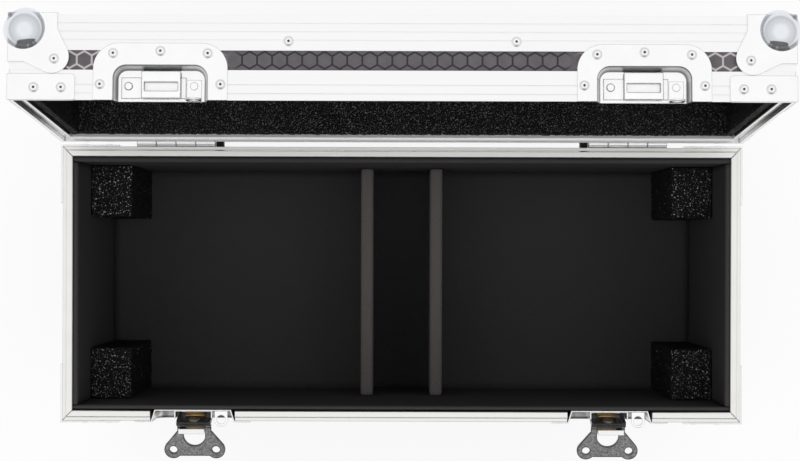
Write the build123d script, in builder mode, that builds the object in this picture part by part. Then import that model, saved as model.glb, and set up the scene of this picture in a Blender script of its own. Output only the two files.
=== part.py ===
# Spark machine flight case, standing with its lid open.
# Origin: centre of the base's footprint on the standing plane. +X is to the right of the
# latched front, +Y to the hinged back, +Z up. All sizes are in millimetres.
import os
from math import atan, cos, degrees, radians, sqrt

from build123d import *

os.makedirs("parts", exist_ok=True)

# Case
case_width = 655.0
case_depth = 265.0
base_height = 252.0
lid_height = 72.0
lid_open_angle = 94.5
sheet_wall = 1.5
panel_thick = 7.0
inner_leg_wall = 1.5
mitre_gap = 0.4
fit_gap = 0.3

# Edging along the outer edges, with shallow lines along its legs
edging_leg = 30.0
edging_corner_clear = 12.0
line_depth = 0.4
line_width = 0.8
edging_line_pitch = 7.1
edging_line_count = 3

# Closing profiles, where the lid meets the base
closing_leg = 25.5
closing_inner_leg = 12.0
closing_lines = (5.6, 13.0)
tongue_setback = 3.4
tongue_height = 3.0
tongue_round = 0.8
lid_lip_width = 3.1

# Foam
base_liner_thick = 5.0
base_floor_liner_thick = 5.0
base_liner_drop = 1.0
lid_liner_thick = 10.0
lid_top_liner_thick = 12.0
divider_thick = 12.7
divider_height = 109.0
middle_compartment_width = 58.5
foam_block_width = 42.0
foam_block_depth = 52.0
foam_block_height = 162.0

# Ball corners
ball_radius = 19.2
ball_inset = 11.5
ball_wall = 1.1
ball_flat = 1.0
ball_flare = 10.0
plate_thick = 1.5
ball_plate_side = 40.0
ball_lobe_centre = 35.5
ball_lobe_radius = 14.3
ball_lobe_root = 12.0
ball_rivet_inset = 37.5

# Corner braces
brace_length = 55.0
brace_height = 22.0
brace_round = 3.0
brace_rivets = (20.8, 43.6)
brace_rivet_drop = 10.4

# Blind rivets
rivet_head_radius = 4.25
rivet_head_rim = 0.5
rivet_dome = 1.1
rivet_crown_radius = 2.6
rivet_shank_radius = 2.1
rivet_bore_radius = 1.1
rivet_bore_depth = 1.2
small_rivet_radius = 3.2
small_rivet_height = 1.0
edging_rivet_inset = 22.0
edging_rivet_spread = 95.0

# Latch dishes
latch_offset = 201.5
dish_sheet = 1.2
dish_width = 112.0
dish_round = 21.4
base_dish_height = 68.0
lid_dish_height = 48.0
dish_floor_depth = 9.5
pocket_width = 79.0
pocket_round = 11.0
pocket_draft = 3.0
base_pocket_height = 50.0
lid_pocket_height = 29.7
dish_joggle = 1.5
dish_side_rivet = (50.2, 13.2)
base_dish_rivets = ((50.2, 38.0), (36.5, 59.5), (0.0, 59.5))
lid_dish_rivets = ((39.4, 39.3), (0.0, 41.2))

# Latch arm, upright in the dish, measured from its pivot and from the dish floor
arm_pivot_drop = 40.0
arm_pivot_out = 4.2
arm_lean = 15.5
arm_half_width = 16.6
arm_flange_wall = 1.5
arm_back_out = 2.6
arm_front_out = 4.6
arm_rail_out = 6.2
arm_rail_width = 4.0
arm_rail_low = 12.0
arm_plate_low = 5.0
arm_top = 34.0
arm_knuckle_radius = 2.9
pivot_pin_radius = 1.5
pin_head_radius = 2.4
pin_head_thick = 0.8
running_clearance = 0.05
bracket_sheet = 1.0
bracket_ear_wall = 1.2
bracket_ear_gap = 0.6
bracket_ear_out = 7.5
bracket_low = 5.0
bracket_top = 35.0
spring_width = 18.6
spring_thick = 0.6
spring_foot_low = 3.0
spring_foot_high = 9.0
spring_tip_out = 6.6
spring_tip_high = 17.5

# Hook plate, spindle and wing
spindle_height = 26.0
spindle_shaft_radius = 4.0
spindle_clip_radius = 5.5
spindle_clip_thick = 0.7
spindle_head_radius = 9.5
spindle_head_out = 11.1
cam_radius = 5.0
cam_offset = 2.5
cam_play = 0.7
hook_half_width = 12.3
hook_back_out = 4.8
hook_thick = 1.6
hook_lip_inner_out = 1.5
hook_low = 15.0
hook_rise_latched = 10.4
wing_thick = 3.0
wing_axis_out = 9.4
wing_pin_radius = 1.3
wing_root_half = 16.5
wing_notch_half = 10.4
wing_notch_depth = 9.5
wing_knuckle_radius = 1.9
wing_lobe_spacing = 41.6
wing_lobe_out = 24.0
wing_lobe_radius = 8.9
wing_hole_radius = 3.8
wing_waist_out = 30.3
wing_shoulder_out = 5.3
wing_shoulder_half = 17.0

# Keeper and padlock eyes
keeper_half_width = 33.5
keeper_right_edge = 20.8
keeper_low = 2.6
keeper_high = 20.4
bridge_half_width = 16.4
bridge_high = 25.4
bridge_out = 4.5
slot_half_width = 14.0
slot_low = 8.7
slot_high = 16.2
keeper_rivet_offset = 27.4
keeper_rivet_height = 13.0
eye_offset = 27.5
eye_strip_half = 6.2
eye_ring_out = 8.3
eye_ring_radius = 6.7
eye_hole_radius = 4.3
eye_thick = 1.5
eye_leg_length = 18.0

# Hinges
hinge_offset = 218.0
hinge_axis_out = 4.0
hinge_knuckle_radius = 3.5
hinge_pin_radius = 1.75
hinge_knuckle_length = 19.0
hinge_knuckle_count = 4
hinge_knuckle_gap = 0.4
hinge_leaf_height = 25.0
hinge_leaf_thick = 1.5
hinge_rivet_offset = 28.0
hinge_rivet_drop = 14.0
stop_block_width = 6.8
stop_block_out = 7.2
stop_block_drop = 12.0

# End handles
handle_width = 158.0
handle_height = 106.0
handle_dish_round = 10.0
handle_pocket_width = 126.0
handle_pocket_height = 78.0
handle_floor_depth = 11.0
handle_centre_height = 130.0
handle_rivet_inset = 8.0
bail_half_span = 46.0
bail_pivot_rise = 26.0
bail_grip_drop = 22.0
bail_pivot_out = 5.6
bail_rod_radius = 3.0
bail_bend_radius = 9.0
bail_elbow_radius = 4.0
grip_radius = 5.0
grip_half_length = 33.0
ear_inner_gap = 2.0
ear_thick = 3.0
ear_radius = 5.2

# Levels and faces that follow from the sizes above
half_width = case_width / 2
half_depth = case_depth / 2
foot = ball_radius - ball_inset - ball_flat
seam = foot + base_height
lid_top = seam + lid_height
rim_width = sheet_wall + panel_thick + inner_leg_wall
panel_x = half_width - sheet_wall
panel_y = half_depth - sheet_wall
inner_x = panel_x - panel_thick
inner_y = panel_y - panel_thick
rim_x = half_width - rim_width
rim_y = half_depth - rim_width
liner_x = rim_x - base_liner_thick
liner_y = rim_y - base_liner_thick
floor_top = foot + sheet_wall + panel_thick
liner_floor_top = floor_top + base_floor_liner_thick
tongue_top = seam + tongue_height
rebate_top = tongue_top + fit_gap
lid_panel_low = rebate_top + sheet_wall
lid_inner_top = lid_top - sheet_wall - panel_thick
hinge_y = half_depth + hinge_axis_out
hinge_axis = Axis((0, hinge_y, seam), (1, 0, 0))
dish_face = half_depth + dish_sheet
dish_floor = half_depth - dish_floor_depth
latch_sides = (("left", -latch_offset), ("right", latch_offset))


def block(x_span, y_span, z_span, mode=Mode.ADD):
    """A box between two limits along each axis."""
    spans = (x_span, y_span, z_span)
    sizes = [abs(high - low) for low, high in spans]
    with Locations(tuple(min(span) for span in spans)):
        Box(*sizes, align=(Align.MIN, Align.MIN, Align.MIN), mode=mode)


def ring(width, depth, wall, z_span, mode=Mode.ADD):
    """A rectangular ring of one wall thickness, lying level."""
    with BuildSketch(Plane.XY.offset(z_span[0])) as outline:
        Rectangle(width, depth)
        Rectangle(width - 2 * wall, depth - 2 * wall, mode=Mode.SUBTRACT)
    extrude(outline.sketch, amount=z_span[1] - z_span[0], mode=mode)


def save(piece, name):
    """Name a finished piece and write its file."""
    piece.part.label = name
    export_step(piece.part, f"parts/{name}.step")


def save_open(piece, name):
    """Swing a piece of the lid open about the hinge pins, then name and write it."""
    opened = piece.part.rotate(hinge_axis, -lid_open_angle)
    opened.label = name
    export_step(opened, f"parts/{name}.step")


def face_place(face, along, height):
    """A place on one outer face of the case: along it, at a height, facing out."""
    if face == "front":
        return Plane((along, -half_depth, height), x_dir=(1, 0, 0), z_dir=(0, -1, 0))
    if face == "back":
        return Plane((along, half_depth, height), x_dir=(1, 0, 0), z_dir=(0, 1, 0))
    if face == "left":
        return Plane((-half_width, along, height), x_dir=(0, 1, 0), z_dir=(-1, 0, 0))
    return Plane((half_width, along, height), x_dir=(0, 1, 0), z_dir=(1, 0, 0))


def flat_place(along_x, along_y, height, up):
    """A place on the top or the underside of the case, facing out."""
    return Plane((along_x, along_y, height), x_dir=(1, 0, 0), z_dir=(0, 0, 1 if up else -1))


def corner_places(edge_level, inward, up):
    """The three rivet places of each ball corner."""
    places = []
    for x_side in (-1, 1):
        for y_side in (-1, 1):
            height = edge_level + inward * ball_rivet_inset
            x_face = "right" if x_side > 0 else "left"
            y_face = "back" if y_side > 0 else "front"
            along_x = x_side * (half_width - ball_rivet_inset)
            along_y = y_side * (half_depth - ball_rivet_inset)
            places.append(face_place(y_face, along_x, height))
            places.append(face_place(x_face, along_y, height))
            places.append(flat_place(along_x, along_y, edge_level, up))
    return places


def brace_places(height):
    """The rivet places of the four corner braces at one height."""
    places = []
    for inset in brace_rivets:
        for side in (-1, 1):
            for face in ("front", "back"):
                places.append(face_place(face, side * (half_width - inset), height))
            for face in ("left", "right"):
                places.append(face_place(face, side * (half_depth - inset), height))
    return places


def hinge_places(height):
    """The rivet places of one row of hinge leaves."""
    return [
        face_place("back", side * hinge_offset + step, height)
        for side in (-1, 1)
        for step in (-hinge_rivet_offset, 0, hinge_rivet_offset)
    ]


def add_rivets(places, proud, grip):
    """Blind rivets whose heads seat at one height above the case's faces."""
    seats = [place.offset(proud) for place in places]
    bottom = (Align.CENTER, Align.CENTER, Align.MIN)
    top = (Align.CENTER, Align.CENTER, Align.MAX)
    crown = rivet_head_rim + rivet_dome
    with Locations(*seats):
        Cylinder(rivet_head_radius, rivet_head_rim, align=bottom)
        Cylinder(rivet_shank_radius, grip, align=top)
    with Locations(*[seat.offset(rivet_head_rim) for seat in seats]):
        Cone(rivet_head_radius, rivet_crown_radius, rivet_dome, align=bottom)
    with Locations(*[seat.offset(crown) for seat in seats]):
        Cylinder(rivet_bore_radius, rivet_bore_depth, align=top, mode=Mode.SUBTRACT)


def drill(places, proud=0.0):
    """Holes for rivet shanks through everything below the places."""
    with Locations(*[place.offset(proud + sheet_wall) for place in places]):
        Cylinder(
            rivet_shank_radius,
            proud + 2 * sheet_wall + panel_thick - fit_gap,
            align=(Align.CENTER, Align.CENTER, Align.MAX),
            mode=Mode.SUBTRACT,
        )


rivet_grip = sheet_wall + panel_thick - fit_gap

# Rivet places of the base
base_corner_places = corner_places(foot, 1, False)
base_brace_places = brace_places(seam - brace_rivet_drop)
base_hinge_places = hinge_places(seam - hinge_rivet_drop)
base_edging_places = [
    face_place(face, step * edging_rivet_spread, foot + edging_rivet_inset)
    for face in ("front", "back")
    for step in (-2, -1, 0, 1, 2)
]
base_edging_places += [
    face_place(face, step * edging_rivet_spread / 2, foot + edging_rivet_inset)
    for face in ("left", "right")
    for step in (-1, 1)
]
base_edging_places += [
    flat_place(step * edging_rivet_spread, side * (half_depth - edging_rivet_inset), foot, False)
    for step in (-2, -1, 0, 1, 2)
    for side in (-1, 1)
]
base_dish_rim_places = [
    face_place("front", centre + side * dish_side_rivet[0], seam - dish_side_rivet[1])
    for _, centre in latch_sides
    for side in (-1, 1)
]
base_dish_places = [
    face_place("front", centre + side * along, seam - drop)
    for _, centre in latch_sides
    for along, drop in base_dish_rivets
    for side in ((-1, 1) if along else (1,))
]
handle_rivet_y = handle_width / 2 - handle_rivet_inset
handle_rivet_z = handle_height / 2 - handle_rivet_inset
handle_level = foot + handle_centre_height
handle_places = [
    face_place(face, y_side * handle_rivet_y, handle_level + z_side * handle_rivet_z)
    for face in ("left", "right")
    for y_side in (-1, 0, 1)
    for z_side in (-1, 1)
]

# Rivet places of the lid, closed
lid_corner_places = corner_places(lid_top, -1, True)
lid_brace_places = brace_places(seam + brace_rivet_drop)
lid_hinge_places = hinge_places(seam + hinge_rivet_drop)
lid_edging_level = lid_top - edging_rivet_inset
lid_edging_places = [
    face_place("front", side * edging_rivet_spread, lid_edging_level) for side in (-1, 1)
]
lid_edging_places += [
    face_place("back", step * edging_rivet_spread, lid_edging_level)
    for step in (-2, -1, 0, 1, 2)
]
lid_edging_places += [face_place(face, 0, lid_edging_level) for face in ("left", "right")]
lid_edging_places += [
    flat_place(step * edging_rivet_spread, side * (half_depth - edging_rivet_inset), lid_top, True)
    for step in (-2, -1, 0, 1, 2)
    for side in (-1, 1)
]
lid_dish_places = [
    face_place("front", centre + side * along, seam + rise)
    for _, centre in latch_sides
    for along, rise in (dish_side_rivet,) + lid_dish_rivets
    for side in ((-1, 1) if along else (1,))
]


def drill_base():
    """Every rivet hole of the base."""
    drill(base_corner_places + base_brace_places + base_hinge_places + base_edging_places)
    drill(base_dish_rim_places + base_dish_places + handle_places)


def drill_lid():
    """Every rivet hole of the lid."""
    drill(lid_corner_places + lid_brace_places + lid_hinge_places + lid_edging_places + lid_dish_places)


def dish_outline(centre, width, height, corner, direction):
    """The outline of a latch dish: square at the seam, rounded at its far corners."""
    with BuildSketch(Plane((centre, 0, seam), x_dir=(1, 0, 0), z_dir=(0, -1, 0))) as outline:
        with Locations((0, direction * height / 2)):
            Rectangle(width, height)
        far = outline.vertices().group_by(Axis.Y)[-1 if direction > 0 else 0]
        fillet(far, corner)
    return outline.sketch


def pocket_tool(centre, height, spread, floor_out, direction):
    """The space of a dish's pocket, drafted towards its floor, open at the seam."""
    depth = dish_face - floor_out
    draft = degrees(atan(pocket_draft / dish_floor_depth))
    start = Plane((centre, -dish_face, seam), x_dir=(1, 0, 0), z_dir=(0, 1, 0))
    with BuildPart() as tool:
        with BuildSketch(start) as mouth:
            RectangleRounded(pocket_width + 2 * spread, 2 * (height + spread), pocket_round + spread)
        extrude(mouth.sketch, amount=depth, taper=draft)
        far_side = seam + direction * case_depth
        near = (centre - dish_width, centre + dish_width)
        block(near, (-case_depth, 0), (seam, 2 * seam - far_side), mode=Mode.SUBTRACT)
    return tool.part


def cut_latch_openings(direction, height):
    """Clear the walls behind both latch dishes."""
    for _, centre in latch_sides:
        half = pocket_width / 2 + dish_sheet + fit_gap
        deep = height + dish_sheet + fit_gap
        far_front = Plane((centre, -case_depth, seam), x_dir=(1, 0, 0), z_dir=(0, -1, 0))
        with BuildSketch(far_front) as hole:
            RectangleRounded(2 * half, 2 * deep, pocket_round + dish_sheet)
            with Locations((0, -direction * deep)):
                Rectangle(4 * half, 2 * deep, mode=Mode.SUBTRACT)
        extrude(hole.sketch, amount=-(case_depth - inner_y), mode=Mode.SUBTRACT)


# Panels of the base
with BuildPart() as base_front_panel:
    block((-panel_x, panel_x), (-panel_y, -inner_y), (foot + sheet_wall, seam - sheet_wall))
    cut_latch_openings(-1, base_pocket_height)
    drill_base()
save(base_front_panel, "base_front_panel")

with BuildPart() as base_back_panel:
    block((-panel_x, panel_x), (inner_y, panel_y), (foot + sheet_wall, seam - sheet_wall))
    drill_base()
save(base_back_panel, "base_back_panel")

handle_cut_width = handle_pocket_width + 2 * dish_sheet + 2 * fit_gap
handle_cut_height = handle_pocket_height + 2 * dish_sheet + 2 * fit_gap
for name, side in (("left", -1), ("right", 1)):
    with BuildPart() as base_side_panel:
        span = (side * inner_x, side * panel_x)
        block(span, (-inner_y, inner_y), (foot + sheet_wall, seam - sheet_wall))
        far_side = Plane((side * case_width, 0, handle_level), x_dir=(0, 1, 0), z_dir=(side, 0, 0))
        with BuildSketch(far_side) as hole:
            RectangleRounded(handle_cut_width, handle_cut_height, handle_dish_round + dish_sheet)
        extrude(hole.sketch, amount=-case_width, mode=Mode.SUBTRACT)
        drill_base()
    save(base_side_panel, f"base_{name}_panel")

with BuildPart() as base_floor_panel:
    block((-inner_x, inner_x), (-inner_y, inner_y), (foot + sheet_wall, floor_top))
    drill_base()
save(base_floor_panel, "base_floor_panel")

# Foam of the base: walls rebated for the closing profile, and recessed behind the dishes
liner_top = tongue_top - base_liner_drop
inner_leg_low = seam - closing_inner_leg
with BuildPart() as base_wall_liners:
    for side in (-1, 1):
        block((-inner_x, inner_x), (side * liner_y, side * inner_y), (floor_top, liner_top))
        block((side * liner_x, side * inner_x), (-liner_y, liner_y), (floor_top, liner_top))
    ring(case_width, case_depth, rim_width, (inner_leg_low, case_width), mode=Mode.SUBTRACT)
    dish_back = dish_floor - dish_sheet - fit_gap
    pocket_half = pocket_width / 2 + dish_sheet
    for _, centre in latch_sides:
        span = (centre - pocket_half, centre + pocket_half)
        low = seam - base_pocket_height - 2 * dish_sheet
        block(span, (-inner_y, -dish_back), (low, case_width), mode=Mode.SUBTRACT)
    handle_back = half_width - handle_floor_depth - dish_sheet - fit_gap
    for side in (-1, 1):
        span = (side * inner_x, side * handle_back)
        half_y = handle_cut_width / 2
        half_z = handle_cut_height / 2
        levels = (handle_level - half_z, handle_level + half_z)
        block(span, (-half_y, half_y), levels, mode=Mode.SUBTRACT)
    for x_side in (-1, 1):
        for y_side in (-1, 1):
            with Locations((x_side * inner_x, y_side * liner_y, seam)):
                Box(2 * (inner_x - liner_x), mitre_gap, case_width, mode=Mode.SUBTRACT)
save(base_wall_liners, "base_wall_liners")

with BuildPart() as base_floor_liner:
    block((-liner_x, liner_x), (-liner_y, liner_y), (floor_top, liner_floor_top))
save(base_floor_liner, "base_floor_liner")

divider_inner = middle_compartment_width / 2
for name, side in (("left", -1), ("right", 1)):
    with BuildPart() as divider:
        span = (side * divider_inner, side * (divider_inner + divider_thick))
        block(span, (-liner_y, liner_y), (liner_floor_top, liner_floor_top + divider_height))
    save(divider, f"{name}_divider")

with BuildPart() as corner_foam_blocks:
    for x_side in (-1, 1):
        for y_side in (-1, 1):
            block(
                (x_side * (liner_x - foam_block_width), x_side * liner_x),
                (y_side * (liner_y - foam_block_depth), y_side * liner_y),
                (liner_floor_top, liner_floor_top + foam_block_height),
            )
save(corner_foam_blocks, "corner_foam_blocks")


def cut_mitres(width):
    """Part the four lengths of a frame of this width at its mitred corners."""
    for x_side in (-1, 1):
        for y_side in (-1, 1):
            middle = (x_side * (half_width - width / 2), y_side * (half_depth - width / 2), 0)
            with Locations(Location(middle, (0, 0, x_side * y_side * 45))):
                Box(2 * width, mitre_gap, 3 * lid_top, mode=Mode.SUBTRACT)


def add_edging(face_level, inward, leg_clear):
    """Four lengths of angle along the edges of one flat face, with lines along their legs."""
    far = face_level + inward * edging_leg
    ring(case_width, case_depth, sheet_wall, sorted((face_level, far)))
    skin = sorted((face_level, face_level + inward * sheet_wall))
    ring(case_width, case_depth, edging_leg, skin)
    for count in range(1, edging_line_count + 1):
        inset = count * edging_line_pitch
        level = face_level + inward * inset
        groove = sorted((level - line_width / 2, level + line_width / 2))
        ring(case_width, case_depth, line_depth, groove, mode=Mode.SUBTRACT)
        shallow = sorted((face_level, face_level + inward * line_depth))
        spread = 2 * inset - line_width
        ring(case_width - spread, case_depth - spread, line_width, shallow, mode=Mode.SUBTRACT)
    with GridLocations(case_width, case_depth, 2, 2):
        Box(2 * leg_clear, 2 * leg_clear, 2 * (lid_top + leg_clear), mode=Mode.SUBTRACT)
    cut_mitres(edging_leg)


def add_posts(z_span):
    """Four upright lengths of angle at the corners of the case."""
    with GridLocations(case_width - edging_leg, case_depth - edging_leg, 2, 2):
        with Locations((0, 0, (z_span[0] + z_span[1]) / 2)):
            Box(edging_leg, edging_leg, z_span[1] - z_span[0])
    block((-panel_x, panel_x), (-panel_y, panel_y), (0, lid_top), mode=Mode.SUBTRACT)


with BuildPart() as base_bottom_edging:
    add_edging(foot, 1, edging_corner_clear)
    drill_base()
save(base_bottom_edging, "base_bottom_edging")

with BuildPart() as base_corner_edging:
    add_posts((foot + edging_leg, seam - closing_leg))
    drill_base()
save(base_corner_edging, "base_corner_edging")


def add_closing_lines(direction):
    """Two shallow lines along the outer leg of a closing profile."""
    for inset in closing_lines:
        level = seam + direction * inset
        groove = (level - line_width / 2, level + line_width / 2)
        ring(case_width, case_depth, line_depth, groove, mode=Mode.SUBTRACT)


with BuildPart() as base_closing_frame:
    ring(case_width, case_depth, sheet_wall, (seam - closing_leg, seam))
    ring(case_width, case_depth, rim_width, (seam - sheet_wall, seam))
    tongue_wall = rim_width - tongue_setback
    tongue_width = case_width - 2 * tongue_setback
    tongue_depth = case_depth - 2 * tongue_setback
    ring(tongue_width, tongue_depth, tongue_wall, (seam, tongue_top))
    top_edges = base_closing_frame.edges().group_by(Axis.Z)[-1]
    chamfer(top_edges, tongue_round)
    inset = 2 * (rim_width - inner_leg_wall)
    ring(case_width - inset, case_depth - inset, inner_leg_wall, (inner_leg_low, seam))
    add_closing_lines(-1)
    cut_mitres(rim_width)
    for _, centre in latch_sides:
        half = pocket_width / 2 + dish_sheet + fit_gap
        block((centre - half, centre + half), (-case_depth, 0), (0, lid_top), mode=Mode.SUBTRACT)
    drill_base()
save(base_closing_frame, "base_closing_frame")


def ball_plate(plane):
    """One flat plate of a ball corner: a square with a rounded lobe on its diagonal."""
    with BuildSketch(plane) as plate:
        with Locations((-plate_thick, -plate_thick)):
            side = ball_plate_side + plate_thick
            Rectangle(side, side, align=(Align.MIN, Align.MIN))
        with BuildLine() as lobe:
            CenterArc((ball_lobe_centre, ball_lobe_centre), ball_lobe_radius, 0, 360)
            Line((ball_plate_side, ball_lobe_root), (ball_lobe_root, ball_plate_side))
        make_hull(lobe.edges())
    return plate.sketch


def ball_neck(outward):
    """The curve of sheet that leads from one plate up to the ball, all the way round it."""
    reach = ball_radius + ball_flare
    lift = ball_inset + plate_thick + ball_flare
    foot_out = sqrt(reach ** 2 - lift ** 2)
    share = ball_radius / reach
    meet = (share * foot_out, share * lift - ball_inset)
    middle = tuple(ball_inset * (1 - abs(step)) for step in outward)
    sideways = Vector(outward[1], outward[2], outward[0])
    with BuildPart() as neck:
        with BuildSketch(Plane(middle, x_dir=sideways, z_dir=sideways.cross(Vector(outward)))) as section:
            with BuildLine():
                Polyline(meet, (0, meet[1]), (0, 0), (foot_out, 0), (foot_out, plate_thick))
                RadiusArc((foot_out, plate_thick), meet, ball_flare)
            make_face()
        revolve(section.sketch, axis=Axis(middle, outward))
    return neck.part


def neck_over_plate(outward, reach):
    """The part of a ball's neck that lies over its own plate."""
    spans = [(-reach, 0) if step else (-plate_thick, reach) for step in outward]
    with BuildPart() as limited:
        add(ball_neck(outward))
        block(*spans, mode=Mode.INTERSECT)
    return limited.part


def ball_corner():
    """A hollow ball corner whose case corner is at the origin, with the case towards +X, +Y, +Z."""
    reach = ball_plate_side + ball_lobe_radius + ball_lobe_centre
    left, front, under = (-1, 0, 0), (0, -1, 0), (0, 0, -1)
    with BuildPart() as corner:
        extrude(ball_plate(Plane.XY), amount=-plate_thick)
        extrude(ball_plate(Plane.YZ), amount=-plate_thick)
        extrude(ball_plate(Plane.ZX), amount=-plate_thick)
        for outward in (left, front, under):
            add(neck_over_plate(outward, reach))
        for first, second in ((left, front), (front, under), (under, left)):
            add(ball_neck(first) & ball_neck(second))
        with Locations((ball_inset, ball_inset, ball_inset)):
            Sphere(ball_radius)
            Sphere(ball_radius - ball_wall, mode=Mode.SUBTRACT)
        block((0, reach), (0, reach), (edging_corner_clear, reach), mode=Mode.SUBTRACT)
        block((0, reach), (edging_corner_clear, reach), (0, reach), mode=Mode.SUBTRACT)
        block((edging_corner_clear, reach), (0, reach), (0, reach), mode=Mode.SUBTRACT)
    return corner.part


def add_ball_corners(edge_level, upside_down):
    """A ball corner on each of four corners of the case."""
    corner = ball_corner()
    tilt = 180 if upside_down else 0
    turns = {(-1, -1): 0, (1, -1): 90, (1, 1): 180, (-1, 1): 270}
    for (x_side, y_side), turn in turns.items():
        if upside_down:
            turn += 90
        place = Location((x_side * half_width, y_side * half_depth, edge_level), (0, 0, turn))
        flip = Location((0, 0, 0), (tilt, 0, 0))
        add(corner.moved(place * flip))


with BuildPart() as base_ball_corners:
    add_ball_corners(foot, False)
    block((-case_width, case_width), (-case_depth, case_depth), (-ball_radius, 0), mode=Mode.SUBTRACT)
    drill(base_corner_places, plate_thick)
save(base_ball_corners, "base_ball_corners")


def add_braces(direction):
    """Four corner braces that lie on a closing profile, one side of the seam."""
    tall = sorted((seam, seam + direction * brace_height))
    for x_side in (-1, 1):
        for y_side in (-1, 1):
            outer_x = x_side * (half_width + plate_thick)
            outer_y = y_side * (half_depth + plate_thick)
            block((x_side * (half_width - brace_length), outer_x), (y_side * half_depth, outer_y), tall)
            block((x_side * half_width, outer_x), (y_side * (half_depth - brace_length), outer_y), tall)


def round_brace_corners(piece, direction):
    """Round the two free corners of each brace away from the seam."""
    level = seam + direction * brace_height
    across_x = piece.edges().filter_by(Axis.Y)
    across_y = piece.edges().filter_by(Axis.X)
    inner_x_edges = [
        edge for edge in across_x
        if abs(edge.center().Z - level) < fit_gap
        and abs(abs(edge.center().X) - (half_width - brace_length)) < fit_gap
    ]
    inner_y_edges = [
        edge for edge in across_y
        if abs(edge.center().Z - level) < fit_gap
        and abs(abs(edge.center().Y) - (half_depth - brace_length)) < fit_gap
    ]
    fillet(inner_x_edges + inner_y_edges, brace_round)


with BuildPart() as base_corner_braces:
    add_braces(-1)
    round_brace_corners(base_corner_braces, -1)
    drill(base_brace_places, plate_thick)
save(base_corner_braces, "base_corner_braces")


def latch_dish(centre, height, pocket_height, direction, layers):
    """One half of a recessed latch dish, from layers of (near, far, start, end) off the seam."""
    flange = dish_outline(centre, dish_width, height, dish_round, direction)
    wide = (centre - dish_width, centre + dish_width)
    plates = []
    for near, far, start, end in layers:
        with BuildPart() as plate:
            extrude(flange.moved(Location((0, -near, 0))), amount=far - near)
            levels = sorted((seam + direction * start, seam + direction * end))
            block(wide, (-case_width, 0), levels, mode=Mode.INTERSECT)
        plates.append(plate.part)
    with BuildPart() as dish:
        add(plates)
        add(pocket_tool(centre, pocket_height, dish_sheet, dish_floor - dish_sheet, direction))
        add(pocket_tool(centre, pocket_height, 0, dish_floor, direction), mode=Mode.SUBTRACT)
    return dish.part


# Latch dishes: on the base the flange steps down from the closing profile to the panel
step_start = closing_leg + fit_gap
step_end = step_start + dish_joggle
base_dish_layers = (
    (half_depth, dish_face, 0, step_end),
    (panel_y, dish_face, step_start, step_end),
    (panel_y, panel_y + dish_sheet, step_start, base_dish_height),
)
with BuildPart() as base_latch_dishes:
    for _, centre in latch_sides:
        add(latch_dish(centre, base_dish_height, base_pocket_height, -1, base_dish_layers))
    drill(base_dish_rim_places, dish_sheet)
    drill(base_dish_places, dish_sheet)
save(base_latch_dishes, "base_latch_dishes")

# On the lid the flange bridges from the closing profile to the top edging
bridge_start = closing_leg + fit_gap
bridge_end = lid_height - edging_leg - fit_gap
lid_dish_layers = (
    (half_depth, dish_face, 0, lid_dish_height),
    (panel_y, dish_face, bridge_start, bridge_end),
)
with BuildPart() as lid_latch_dishes:
    for _, centre in latch_sides:
        add(latch_dish(centre, lid_dish_height, lid_pocket_height, 1, lid_dish_layers))
    drill(lid_dish_places, dish_sheet)
save_open(lid_latch_dishes, "lid_latch_dishes")


def out(distance):
    """The Y of a point at this distance in front of a latch dish's floor."""
    return -(dish_floor + distance)


def rise(height):
    """The Z of a point at this height above the latch arm's pivot."""
    return seam - arm_pivot_drop + height


def both(centre, inner, outer):
    """The two X spans between two offsets either side of a latch's centre."""
    return ((centre - outer, centre - inner), (centre + inner, centre + outer))


def across(centre, distance, height):
    """A plane across the latch at its centre, facing along +X, at one point of its side view."""
    return Plane((centre, out(distance), rise(height)), x_dir=(0, 1, 0), z_dir=(1, 0, 0))


def facing(centre, distance, height):
    """A plane that faces out of the latch, with its X to the right and its Y up."""
    return Plane((centre, out(distance), rise(height)), x_dir=(1, 0, 0), z_dir=(0, -1, 0))


def rod(plane, radius, length, mode=Mode.ADD):
    """A cylinder centred on a plane, along its normal."""
    with Locations(plane):
        Cylinder(radius, length, mode=mode)


def disc(plane, radius, thickness, mode=Mode.ADD):
    """A cylinder that stands on a plane."""
    with Locations(plane):
        Cylinder(radius, thickness, align=(Align.CENTER, Align.CENTER, Align.MIN), mode=mode)


ear_inner = arm_half_width + bracket_ear_gap
ear_outer = ear_inner + bracket_ear_wall
pivot_axis = Axis((0, out(arm_pivot_out), rise(0)), (1, 0, 0))
bracket_span = (rise(-bracket_low), rise(bracket_top))


def save_leaning(piece, name):
    """Lean a piece of the latch arm out to its stop, then name and write it."""
    leaned = piece.part.rotate(pivot_axis, arm_lean)
    leaned.label = name
    export_step(leaned, f"parts/{name}.step")


# Hinge brackets of the latch arms, fixed to the dish floors
with BuildPart() as latch_brackets:
    for _, centre in latch_sides:
        block((centre - ear_outer, centre + ear_outer), (out(0), out(bracket_sheet)), bracket_span)
        for span in both(centre, ear_inner, ear_outer):
            block(span, (out(0), out(bracket_ear_out)), bracket_span)
        pin_plane = across(centre, arm_pivot_out, 0)
        rod(pin_plane, pivot_pin_radius, 2 * ear_outer, mode=Mode.SUBTRACT)
save(latch_brackets, "latch_brackets")

with BuildPart() as latch_pivot_pins:
    for _, centre in latch_sides:
        rod(across(centre, arm_pivot_out, 0), pivot_pin_radius, 2 * ear_outer)
        for side in (-1, 1):
            head_x = centre + side * (ear_outer + pin_head_thick / 2)
            rod(across(head_x, arm_pivot_out, 0), pin_head_radius, pin_head_thick)
save(latch_pivot_pins, "latch_pivot_pins")

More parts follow.
